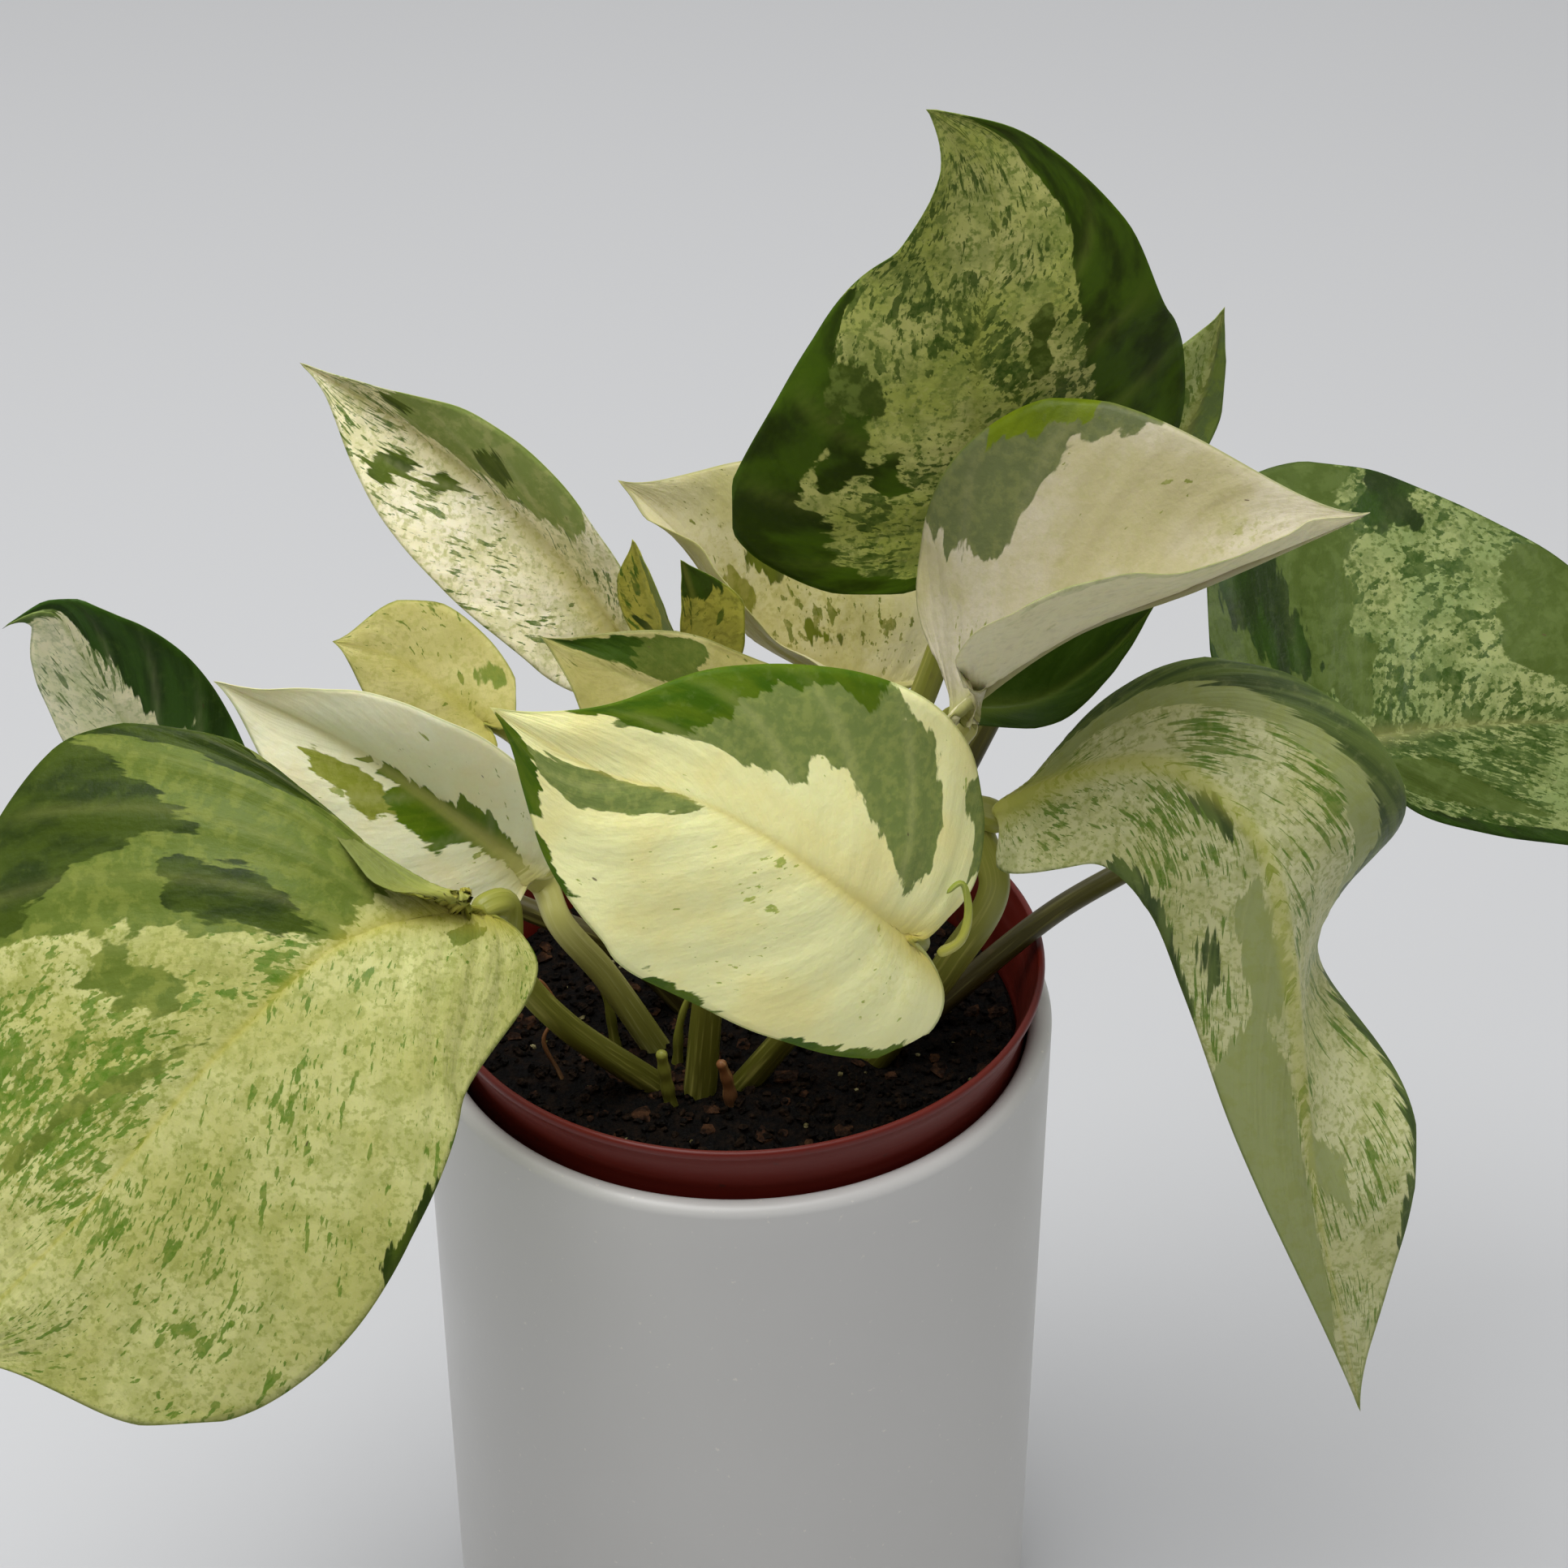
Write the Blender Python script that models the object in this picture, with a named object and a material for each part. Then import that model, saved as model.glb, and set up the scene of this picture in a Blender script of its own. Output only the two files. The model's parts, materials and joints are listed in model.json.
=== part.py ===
"""Potted trailing house plant: a plain ceramic cover pot, a plastic nursery pot standing in its
mouth, the soil, and every leaf blade and leaf stalk as a piece of its own.

Run with: blender --background --python part.py
Lengths are metres. The origin is the middle of the cover pot's underside, +Z is up and the side
that the plant leans to, its front, faces -Y.
"""
import math

import bmesh
import bpy
import numpy as np
from mathutils import Matrix, Vector

MM = 0.001

# Cover pot
POT_HEIGHT = 0.128
POT_RADIUS = 0.0472
POT_WALL = 0.0035
POT_FLOOR = 0.006
POT_FOOT_ROUND = 0.003
POT_LIP_ROUND = 0.0016

# Nursery pot, held by the taper of its collar in the mouth of the cover pot
RIM_HEIGHT = 0.0085
RIM_RADIUS = 0.045
COLLAR_HEIGHT = 0.016
COLLAR_STEP = 0.0012
NURSERY_WALL = 0.0011
NURSERY_FLOOR = 0.0014
NURSERY_HEIGHT = 0.098
NURSERY_BASE_RADIUS = 0.033
NURSERY_TILT = math.radians(1.2)
NURSERY_SHIFT = 0.0009
MOUTH_CLEARANCE = 0.0014

# Soil, and how deep the stalks go into it. The plant's own heights are measured from a level
# PLANT_DROP below the nursery pot's rim, so that a blade or stalk that crosses the rim stays clear.
SOIL_DROP = 0.0115
SOIL_MOUND = 0.0015
PLANTING_DEPTH = 0.006
SHOOT_DEPTH = 0.003
PLANT_DROP = 0.0115

# Plant
BLADE_THICKNESS = 0.0008
GAP = 0.0003
STALK_SIDES = 8
TURN_STEPS = 56
SHOULDER = (0.36, 0.76)

SOIL_TOP = POT_HEIGHT + RIM_HEIGHT - SOIL_DROP
MOUTH_RADIUS = POT_RADIUS - POT_WALL
COLLAR_RADIUS = MOUTH_RADIUS - MOUTH_CLEARANCE
PLANT_SCALE = RIM_RADIUS / 0.045
PLANT_ORIGIN = (NURSERY_SHIFT, 0.0, POT_HEIGHT + RIM_HEIGHT - PLANT_DROP * PLANT_SCALE)
ROOT_LIFT = (0.0, 0.0, SOIL_TOP - PLANT_ORIGIN[2])

# Each blade: midrib points in mm from the middle of the soil's top, the way its upper face looks
# at the base and at the tip, and for its left and right halves the half-width in mm, where along
# the midrib it is widest, how far the lobe reaches back in mm and how full it stays to the tip,
# then, where it isn't SHOULDER, how far out of its width the lobe starts and how steeply it rises.
# fold is how far each half is lifted from flat, in degrees, and curl how much more its edge is.
LEAVES = {
    "leaf_front_left": dict(
        spine=[(-34, -36, 47), (-50, -46, 50), (-65, -56, 41), (-85, -68, 21), (-106, -76, 1)],
        face=[(-0.1, -0.75, 0.65), (-0.2, -0.8, 0.5)],
        left=(37, 0.55, 5, 0.85, 0.20, 0.40), right=(47, 0.33, -14, 0.55, 0.14, 0.72),
        fold=[(0,), (0,)],
        curl=(-20, -15), rows=13),
    "leaf_front_centre": dict(
        spine=[(24, -36, 41), (16, -40, 51), (3, -43, 64), (-6, -45, 71), (-17, -48, 77),
               (-30, -50, 88)],
        face=[(0, -0.8, 0.6), (0, -0.8, 0.6)],
        left=(24, 0.46, 14, 0.5), right=(27, 0.22, 5, 0.42), fold=[(0,), (0,)],
        curl=(-20, -10), rows=12),
    "leaf_front_right": dict(
        spine=[(37, -12, 45), (58, -18, 57), (70, -24, 50), (75, -28, 31), (80, -31, 3),
               (93, -33, -50)],
        face=[(-0.1, -0.6, 0.8), (-0.1, -0.8, 0.5), (0.1, -0.9, 0.2), (0, -0.95, 0.1)],
        left=(23, 0.44, -6, 0.62), right=(18, 0.3, -2, 0.02),
        fold=[(10, 0, -65, 0, 0), (-10, 0, 0, 0)], curl=(-10, -20), rows=15),
    "leaf_right_cream": dict(
        spine=[(30, -14, 62), (45, -18, 78), (61, -19, 86), (82, -18, 97)],
        face=[(-0.1, -0.5, 0.9), (-0.1, -0.5, 0.9)],
        left=(31, 0.45, -2, 0.5), right=(25, 0.4, -10, 0.5), fold=[(20,), (72,)],
        curl=(10, 8), rows=11),
    "leaf_top": dict(
        spine=[(33, 4, 83), (32, 2, 112), (34, 2, 126), (31, 2, 138), (24, 0, 145)],
        face=[(0, -0.9, 0.4), (0, -0.9, 0.3)],
        left=(35, 0.08, 10, 0.1), right=(29, 0.25, 8, 0.4), fold=[(0,), (0,)],
        curl=(-10, -10), rows=12),
    "leaf_back_left": dict(
        spine=[(-19, 34, 45), (-33, 38, 63), (-52, 42, 79), (-65, 44, 87)],
        face=[(-0.3, -0.8, 0.6)],
        left=(16, 0.4, 4, 0.6), right=(13, 0.4, 4, 0.55), fold=[(32,), (45,)],
        curl=(0, -10), rows=10),
    "leaf_far_left": dict(
        spine=[(-79, 10, 23), (-88, 6, 47), (-93, 4, 62), (-96, 3, 69), (-103, 2, 67)],
        face=[(-0.3, -0.6, 0.7)],
        left=(13, 0.5, 4, 0.55), right=(14, 0.4, 4, 0.55), fold=[(-20,), (0,)],
        curl=(-20, -20), stiff=0.8, rows=11),
    "leaf_left_cream": dict(
        spine=[(-29, -12, 34), (-43, -15, 50), (-56, -17, 62), (-70, -19, 72)],
        face=[(0, -0.8, 0.6)],
        left=(18, 0.35, 0, 0.5), right=(15, 0.35, 2, 0.5), fold=[(10,), (45,)],
        curl=(-10, -10), rows=10),
    "leaf_round_back": dict(
        spine=[(-38, 16, 42), (-44, 20, 45), (-53, 24, 49), (-61, 26, 50)],
        face=[(-0.3, -0.8, 0.5)],
        left=(9, 0.45, 4, 0.6), right=(11, 0.45, 4, 0.7), fold=[(0,), (0,)],
        curl=(-10, -10), rows=8),
    "leaf_young_left": dict(
        spine=[(-11, 10, 59), (-13, 10, 67), (-15, 10, 77)],
        face=[(-0.6, -0.6, 0.3)],
        left=(5, 0.4, 2, 0.5), right=(6, 0.4, 2, 0.5), fold=[(20,), (20,)],
        curl=(0, 0), rows=7),
    "leaf_young_right": dict(
        spine=[(-6, 2, 59), (-6, 2, 70), (-8, 1, 79)],
        face=[(0.2, -0.9, 0.3)],
        left=(3, 0.3, 2, 0.5), right=(7, 0.5, 2, 0.5), fold=[(20,), (20,)],
        curl=(0, 0), rows=7),
    "leaf_back_cream": dict(
        spine=[(23, 14, 49), (11, 14, 54), (1, 14, 60), (-8, 14, 74), (-17, 14, 84)],
        face=[(-0.1, -0.4, 0.9)],
        left=(12, 0.4, 0, 0.5), right=(28, 0.35, 4, 0.5), fold=[(60,), (20,)],
        curl=(0, 0), stiff=0.8, rows=11),
    "leaf_wedge": dict(
        spine=[(6, -8, 57), (-10, -8, 63), (-27, -8, 72)],
        face=[(0, -0.7, 0.7)],
        left=(16, 0.35, 4, 0.5), right=(9, 0.35, 4, 0.5), fold=[(10,), (10,)],
        curl=(0, 0), rows=9),
    "leaf_far_right": dict(
        spine=[(82, 8, 42), (94, 12, 43), (122, 17, 42), (156, 22, 35)],
        face=[(0.1, -0.6, 0.8)],
        left=(46, 0.12, 10, 0.3), right=(20, 0.68, -12, 0.5), fold=[(0,), (0,)],
        curl=(-10, -10), rows=12),
    "leaf_crescent": dict(
        spine=[(32, 4, 53), (42, 4, 54), (51, 4, 61), (58, 4, 70)],
        face=[(0, -0.5, 0.8)],
        left=(8, 0.35, 2, 0.5), right=(5, 0.4, 2, 0.5), fold=[(20,), (20,)],
        curl=(0, 0), rows=8),
    "leaf_back_right": dict(
        spine=[(60, 30, 74), (65, 30, 87), (68, 30, 103)],
        face=[(0, -0.9, 0.4)],
        left=(10, 0.35, 4, 0.5), right=(4, 0.35, 4, 0.5), fold=[(20,), (20,)],
        curl=(0, 0), rows=8),
}

# Each stalk: points in mm from the middle of the soil's top, radius at the soil and at the blade.
# The last point is left out: the stalk ends under the base of the blade that it is named for.
STALKS = {
    "front_left": ([(-14, -15, 0), (-25, -21, 15), (-31, -28, 31)], 2.2, 1.8),
    "front_centre": ([(1, -15, 0), (10, -18, 15), (18, -26, 29)], 2.2, 1.6),
    "front_right": ([(20, -9, 0), (30, -11, 18), (36, -12, 33)], 2.6, 2.2),
    "right_cream": ([(14, -2, 0), (22, -7, 23), (28, -11, 46)], 2.0, 1.6),
    "top": ([(8, 4, 0), (17, 2, 30), (27, 2, 60)], 2.4, 1.8),
    "back_left": ([(-6, 12, 0), (-8, 20, 21), (-14, 30, 37)], 2.0, 1.5),
    "far_left": ([(-9, 3, 0), (-17, 2, 10), (-34, 4, 18), (-56, 9, 25)], 2.0, 1.5),
    "left_cream": ([(-13, -7, 0), (-20, -9, 15), (-26, -11, 26)], 2.2, 2.0),
    "round_back": ([(-12, 8, 0), (-20, 10, 19), (-30, 14, 35)], 1.6, 1.2),
    "young_left": ([(-2, 7, 0), (-6, 8, 29)], 1.8, 1.2),
    "back_cream": ([(13, 14, 0), (19, 16, 20), (24, 17, 38)], 1.8, 1.5),
    "wedge": ([(-6, -16, 0), (-4, -14, 19), (2, -12, 39)], 2.6, 1.6),
    "far_right": ([(26, -2, 0), (46, 3, 17), (62, 8, 25)], 2.0, 1.6),
    "crescent": ([(22, 4, 0), (26, 2, 23), (30, 3, 43)], 1.6, 1.2),
    "back_right": ([(20, 14, 0), (34, 20, 33), (48, 28, 58)], 2.0, 1.4),
}

# Short growth at the soil that carries no blade: points in mm, end radii.
SHOOTS = {
    "shoot_left": ([(-19, -6, 0), (-20, -5, 7), (-23, -4, 15)], 1.1, 0.3),
    "shoot_middle": ([(-9.5, -10.5, 0), (-9, -10.5, 7), (-6.5, -10, 15)], 1.1, 0.3),
    "stub_pale": ([(-10.5, -19, 0), (-11, -19, 4), (-11.5, -19.5, 9)], 1.2, 0.9),
    "stub_dry": ([(-1.5, -20, 0), (-2, -20, 4), (-3, -20.5, 8)], 1.3, 0.8),
    "strand_dry": ([(-27, -13, 0), (-29, -12, 5), (-27, -10, 9), (-29.5, -9, 14)], 0.4, 0.3),
}

# A small dry sheath that curls beside the front centre blade's base: points in mm, end radii.
SHEATH = ([(27, -33, 37), (30, -34, 40), (31, -33, 44), (30, -32, 48), (28, -33, 47)], 0.9, 0.4)

COLOURS = {
    "cover_glaze": (0.80, 0.80, 0.79, 0.35),
    "nursery_plastic": (0.17, 0.03, 0.02, 0.45),
    "soil": (0.012, 0.008, 0.006, 0.95),
    "blade_cream": (0.70, 0.68, 0.36, 0.42),
    "blade_speckled": (0.42, 0.48, 0.20, 0.42),
    "blade_green": (0.09, 0.16, 0.03, 0.40),
    "stalk_green": (0.20, 0.27, 0.07, 0.45),
    "dry_sheath": (0.30, 0.24, 0.08, 0.60),
}

SHOOT_LOOK = {"stub_dry": "dry_sheath", "strand_dry": "dry_sheath"}

BLADE_LOOK = {
    "leaf_front_left": "blade_speckled", "leaf_front_right": "blade_speckled",
    "leaf_top": "blade_green", "leaf_far_right": "blade_green", "leaf_crescent": "blade_green",
    "leaf_back_right": "blade_green", "leaf_far_left": "blade_green",
}


def clear_scene():
    for obj in list(bpy.data.objects):
        bpy.data.objects.remove(obj, do_unlink=True)


def material(name):
    """A Principled material in the piece's colour, made once."""
    mat = bpy.data.materials.get(name)
    if mat:
        return mat
    red, green, blue, rough = COLOURS[name]
    mat = bpy.data.materials.new(name)
    mat.use_nodes = True
    shader = mat.node_tree.nodes["Principled BSDF"]
    shader.inputs["Base Color"].default_value = (red, green, blue, 1.0)
    shader.inputs["Roughness"].default_value = rough
    shader.inputs["Metallic"].default_value = 0.0
    return mat


def new_object(name, points, faces, look, smooth=True):
    mesh = bpy.data.meshes.new(name)
    mesh.from_pydata([tuple(p) for p in points], [], faces)
    shape = bmesh.new()
    shape.from_mesh(mesh)
    bmesh.ops.recalc_face_normals(shape, faces=shape.faces)
    shape.to_mesh(mesh)
    shape.free()
    if smooth:
        mesh.shade_smooth()
        mesh.set_sharp_from_angle(angle=math.radians(40))
    obj = bpy.data.objects.new(name, mesh)
    bpy.context.scene.collection.objects.link(obj)
    if look:
        mesh.materials.append(material(look))
    return obj


def unit(vectors):
    lengths = np.linalg.norm(vectors, axis=-1, keepdims=True)
    return vectors / np.maximum(lengths, 1e-12)


def arc(cx, cz, radius, start, stop, steps):
    """Points on a circle in the profile plane, from one angle to the other, in degrees."""
    angles = np.radians(np.linspace(start, stop, steps + 1))
    return [(cx + radius * math.cos(a), cz + radius * math.sin(a)) for a in angles]


def turned(name, profile, look, steps=TURN_STEPS):
    """A solid turned about Z from a profile that starts and ends on the axis."""
    rings = [p for p in profile if p[0] > 1e-9]
    points = []
    for radius, height in rings:
        for k in range(steps):
            turn = 2 * math.pi * k / steps
            points.append((radius * math.cos(turn), radius * math.sin(turn), height))
    faces = []
    for i in range(len(rings) - 1):
        for k in range(steps):
            nxt = (k + 1) % steps
            faces.append((i * steps + k, i * steps + nxt, (i + 1) * steps + nxt, (i + 1) * steps + k))
    first = len(points)
    points.append((0.0, 0.0, profile[0][1]))
    points.append((0.0, 0.0, profile[-1][1]))
    last_ring = (len(rings) - 1) * steps
    for k in range(steps):
        nxt = (k + 1) % steps
        faces.append((first, nxt, k))
        faces.append((first + 1, last_ring + k, last_ring + nxt))
    return new_object(name, points, faces, look)


def smooth_curve(points, steps):
    """Evenly spaced points on a smooth curve through the given ones, and its length."""
    points = np.asarray(points, float)
    knots = np.r_[0, np.cumsum(np.sqrt(np.linalg.norm(np.diff(points, axis=0), axis=1)))]
    spans = np.diff(knots)
    slopes = np.diff(points, axis=0) / spans[:, None]
    tangents = np.empty_like(points)
    if len(points) == 2:
        tangents[:] = slopes[0]
    else:
        before, after = spans[:-1, None], spans[1:, None]
        tangents[1:-1] = (slopes[:-1] * after + slopes[1:] * before) / (before + after)
        tangents[0] = 1.5 * slopes[0] - 0.5 * tangents[1]
        tangents[-1] = 1.5 * slopes[-1] - 0.5 * tangents[-2]
    at = np.linspace(0, knots[-1], 400)
    k = np.clip(np.searchsorted(knots, at, side="right") - 1, 0, len(points) - 2)
    span = spans[k][:, None]
    u = (at - knots[k])[:, None] / span
    curve = ((2 * u**3 - 3 * u**2 + 1) * points[k] + (u**3 - 2 * u**2 + u) * span * tangents[k]
             + (3 * u**2 - 2 * u**3) * points[k + 1] + (u**3 - u**2) * span * tangents[k + 1])
    run = np.r_[0, np.cumsum(np.linalg.norm(np.diff(curve, axis=0), axis=1))]
    even = np.linspace(0, run[-1], steps + 1)
    return np.stack([np.interp(even, run, curve[:, i]) for i in range(3)], 1), run[-1]


def bezier(corners, t):
    a, b, c, d = [np.array(p, float) for p in corners]
    t = t[:, None]
    return (1 - t)**3 * a + 3 * (1 - t)**2 * t * b + 3 * (1 - t) * t**2 * c + t**3 * d


def half_outline(widest, lobe, full, shoulder, steps):
    """The edge of half a heart-shaped blade, base to tip, for a length and half-width of 1."""
    t = np.linspace(0, 1, 60)
    low, high = shoulder
    back = bezier([(0, 0), (-0.5 * lobe, 0.02), (-lobe, 0.28 * low), (-lobe, low)], t)
    swell = bezier([(-lobe, low), (-lobe, high), (widest - 0.38 * (widest + lobe), 1),
                    (widest, 1)], t)
    taper = bezier([(widest, 1), (widest + full * (1 - widest), 1), (0.84, 0.12), (1, 0)], t)
    edge = np.vstack([back, swell[1:], taper[1:]])
    run = np.r_[0, np.cumsum(np.hypot(*np.diff(edge * [1, 0.42], axis=0).T))]
    even = np.linspace(0, run[-1], steps + 1)
    return np.interp(even, run, edge[:, 0]), np.interp(even, run, edge[:, 1])


def blend(values, u):
    """Smoothly varying value along 0..1 from a few evenly spaced ones."""
    values = np.atleast_2d(np.asarray(values, float).T).T
    if len(values) == 1:
        return np.repeat(values, len(u), axis=0)
    place = np.clip(u, 0, 1) * (len(values) - 1)
    k = np.clip(place.astype(int), 0, len(values) - 2)
    f = (place - k)[:, None]
    f = f * f * (3 - 2 * f)
    return values[k] * (1 - f) + values[k + 1] * f


def blade_grid(leaf, rows, columns):
    """Middle surface of a blade as a grid, midrib in the middle column, and its face normals."""
    samples = 60
    spine, length = smooth_curve(leaf["spine"], samples)
    along = unit(np.gradient(spine, axis=0))
    stiff = leaf.get("stiff", 0.55)
    axis = unit(along * (1 - stiff) + unit(spine[-1] - spine[0]) * stiff)
    face = blend(leaf["face"], np.linspace(0, 1, samples + 1))
    normal = unit(face - (face * axis).sum(1)[:, None] * axis)
    side = np.cross(axis, normal)
    grid = np.zeros((rows + 1, 2 * columns + 1, 3))
    for half, sign in ((0, -1), (1, 1)):
        width, widest, lobe, full, *shoulder = leaf["right" if half else "left"]
        edge_x, edge_y = half_outline(widest, lobe / length, full,
                                      shoulder or SHOULDER, rows)
        rib_x = np.linspace(0, 1, rows + 1)**1.7
        for j in range(columns + 1):
            share = j / columns
            u = rib_x + (edge_x - rib_x) * share
            out = edge_y * share
            k = np.clip(u, 0, 1) * samples
            i = np.clip(k.astype(int), 0, samples - 1)
            f = (k - i)[:, None]
            centre = spine[i] * (1 - f) + spine[i + 1] * f
            ahead = unit(along[i] * (1 - f) + along[i + 1] * f)
            up = unit(normal[i] * (1 - f) + normal[i + 1] * f)
            across = unit(side[i] * (1 - f) + side[i + 1] * f)
            centre = centre - ahead * (np.maximum(-u, 0) * length)[:, None]
            tilt = np.radians(blend(leaf["fold"][half], u))[:, 0]
            bend = math.radians(leaf["curl"][half]) + 1e-4
            sideways = width * (np.sin(tilt + bend * out) - np.sin(tilt)) / bend
            lift = width * (np.cos(tilt) - np.cos(tilt + bend * out)) / bend
            grid[:, columns + sign * j] = (centre + across * (sign * sideways)[:, None]
                                           + up * lift[:, None])
    return grid * MM * PLANT_SCALE, normal[0], axis[0]


def blade(name, leaf):
    """A blade: its middle surface, given its thickness by a Solidify modifier."""
    rows = leaf["rows"]
    columns = 3 if rows > 9 else 2
    grid, _, _ = blade_grid(leaf, rows, columns)
    wide = 2 * columns + 1
    inner = grid[1:-1].reshape(-1, 3)
    points = [grid[0, 0], grid[-1, 0]] + list(inner)
    points = np.array(points) + PLANT_ORIGIN
    faces = []
    for j in range(wide - 1):
        faces.append((0, 2 + j + 1, 2 + j))
        last = 2 + (rows - 2) * wide + j
        faces.append((1, last, last + 1))
    for i in range(rows - 2):
        for j in range(wide - 1):
            a = 2 + i * wide + j
            faces.append((a, a + 1, a + wide + 1, a + wide))
    obj = new_object(name, points, faces, BLADE_LOOK.get(name, "blade_cream"))
    thick = obj.modifiers.new("thickness", "SOLIDIFY")
    thick.thickness = BLADE_THICKNESS
    thick.offset = 0.0
    thick.use_even_offset = False
    return obj


def tube(name, path, radii, look, sides=STALK_SIDES):
    """A closed round bar along a path, with frames carried along it so that it doesn't twist."""
    path = np.asarray(path, float)
    along = unit(np.gradient(path, axis=0))
    across = unit(np.cross(along[0], (0.0, 1.0, 0.3)))
    points = []
    for p, direction, radius in zip(path, along, radii):
        across = unit(across - (across @ direction) * direction)
        other = np.cross(direction, across)
        for k in range(sides):
            turn = 2 * math.pi * k / sides
            points.append(p + radius * (across * math.cos(turn) + other * math.sin(turn)))
    faces = [tuple(range(sides))[::-1]]
    for i in range(len(path) - 1):
        for k in range(sides):
            nxt = (k + 1) % sides
            faces.append((i * sides + k, i * sides + nxt, (i + 1) * sides + nxt, (i + 1) * sides + k))
    faces.append(tuple(range((len(path) - 1) * sides, len(path) * sides)))
    return new_object(name, points, faces, look)


def stalk_path(name, points, tip_radius):
    """Stalk from below the soil's top to just under the base of its blade, in metres."""
    leaf = LEAVES["leaf_" + name]
    _, face, axis = blade_grid(leaf, 4, 2)
    base = np.array(leaf["spine"][0], float) * MM * PLANT_SCALE
    reach = tip_radius * MM * PLANT_SCALE + BLADE_THICKNESS / 2 + GAP
    end = base - face * reach + axis * 0.001
    near = end - axis * 0.005 * PLANT_SCALE - face * 0.002
    above = [np.array(p, float) * MM * PLANT_SCALE for p in points]
    above[0] = above[0] + ROOT_LIFT
    start = above[0] - unit(above[1] - above[0]) * PLANTING_DEPTH
    path, _ = smooth_curve([start] + above + [near, end], 11)
    return path + PLANT_ORIGIN


def cut(target, cutter):
    cutter.hide_render = True
    cutter.display_type = "WIRE"
    hole = target.modifiers.new("cut_" + cutter.name, "BOOLEAN")
    hole.operation = "DIFFERENCE"
    hole.solver = "EXACT"
    hole.object = cutter


def make_cover_pot():
    foot = arc(POT_RADIUS - POT_FOOT_ROUND, POT_FOOT_ROUND, POT_FOOT_ROUND, -90, 0, 4)
    lip_r = POT_LIP_ROUND
    lip = arc(POT_RADIUS - lip_r, POT_HEIGHT - lip_r, lip_r, 0, 90, 3)
    lip += arc(MOUTH_RADIUS + lip_r, POT_HEIGHT - lip_r, lip_r, 90, 180, 3)
    floor_radius = POT_RADIUS - POT_WALL
    profile = [(0, 0)] + foot + lip + [(floor_radius, POT_FLOOR + 0.002)]
    profile += [(floor_radius - 0.002, POT_FLOOR), (0, POT_FLOOR)]
    return turned("cover_pot", profile, "cover_glaze")


def nursery_radius(height):
    """Outer radius of the nursery pot at a height measured from its rim, downwards negative."""
    if height > -COLLAR_HEIGHT:
        share = min(1.0, -height / RIM_HEIGHT)
        return RIM_RADIUS + (COLLAR_RADIUS - RIM_RADIUS) * share
    share = (-height - COLLAR_HEIGHT) / (NURSERY_HEIGHT - COLLAR_HEIGHT)
    top = COLLAR_RADIUS - COLLAR_STEP
    return top + (NURSERY_BASE_RADIUS - top) * share


def make_nursery_pot():
    wall = NURSERY_WALL
    step = -COLLAR_HEIGHT
    body_top = nursery_radius(step)
    outer = [(0, -NURSERY_HEIGHT), (NURSERY_BASE_RADIUS - 0.001, -NURSERY_HEIGHT),
             (NURSERY_BASE_RADIUS, -NURSERY_HEIGHT + 0.001), (body_top, step),
             (COLLAR_RADIUS, step + 0.0004), (COLLAR_RADIUS, -RIM_HEIGHT)]
    rim = [(RIM_RADIUS, -0.0008), (RIM_RADIUS - 0.0003, -0.0002), (RIM_RADIUS - wall / 2, 0),
           (RIM_RADIUS - wall + 0.0003, -0.0002), (RIM_RADIUS - wall, -0.0008)]
    inner = [(COLLAR_RADIUS - wall, -RIM_HEIGHT), (COLLAR_RADIUS - wall, step + 0.001),
             (body_top - wall, step - 0.001),
             (NURSERY_BASE_RADIUS - wall, -NURSERY_HEIGHT + NURSERY_FLOOR),
             (0, -NURSERY_HEIGHT + NURSERY_FLOOR)]
    return turned("nursery_pot", outer + rim + inner, "nursery_plastic")


def make_soil():
    """Soil filling the nursery pot to the drop below its rim, slightly mounded."""
    wall = NURSERY_WALL + GAP
    step = -COLLAR_HEIGHT
    bottom = -NURSERY_HEIGHT + NURSERY_FLOOR + GAP
    body_top = nursery_radius(step)
    edge = COLLAR_RADIUS - wall
    top = -SOIL_DROP
    profile = [(0, bottom), (NURSERY_BASE_RADIUS - wall, bottom),
               (body_top - wall, step - 0.001), (edge, step + 0.001), (edge, top - SOIL_MOUND)]
    for share in (0.8, 0.55, 0.3):
        profile.append((edge * share, top - SOIL_MOUND * share**2))
    profile.append((0, top))
    return turned("soil", profile, "soil")


def tilt_with_pot(obj):
    """Lean about the middle of the cover pot's mouth, as the nursery pot sits in it."""
    pivot = Matrix.Translation(Vector((0, 0, POT_HEIGHT)))
    lean = Matrix.Rotation(-NURSERY_TILT, 4, "Y")
    rise = Matrix.Translation(Vector((0, 0, RIM_HEIGHT)))
    shift = Matrix.Translation(Vector((NURSERY_SHIFT, 0, 0)))
    obj.data.transform(shift @ pivot @ lean @ rise)


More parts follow.
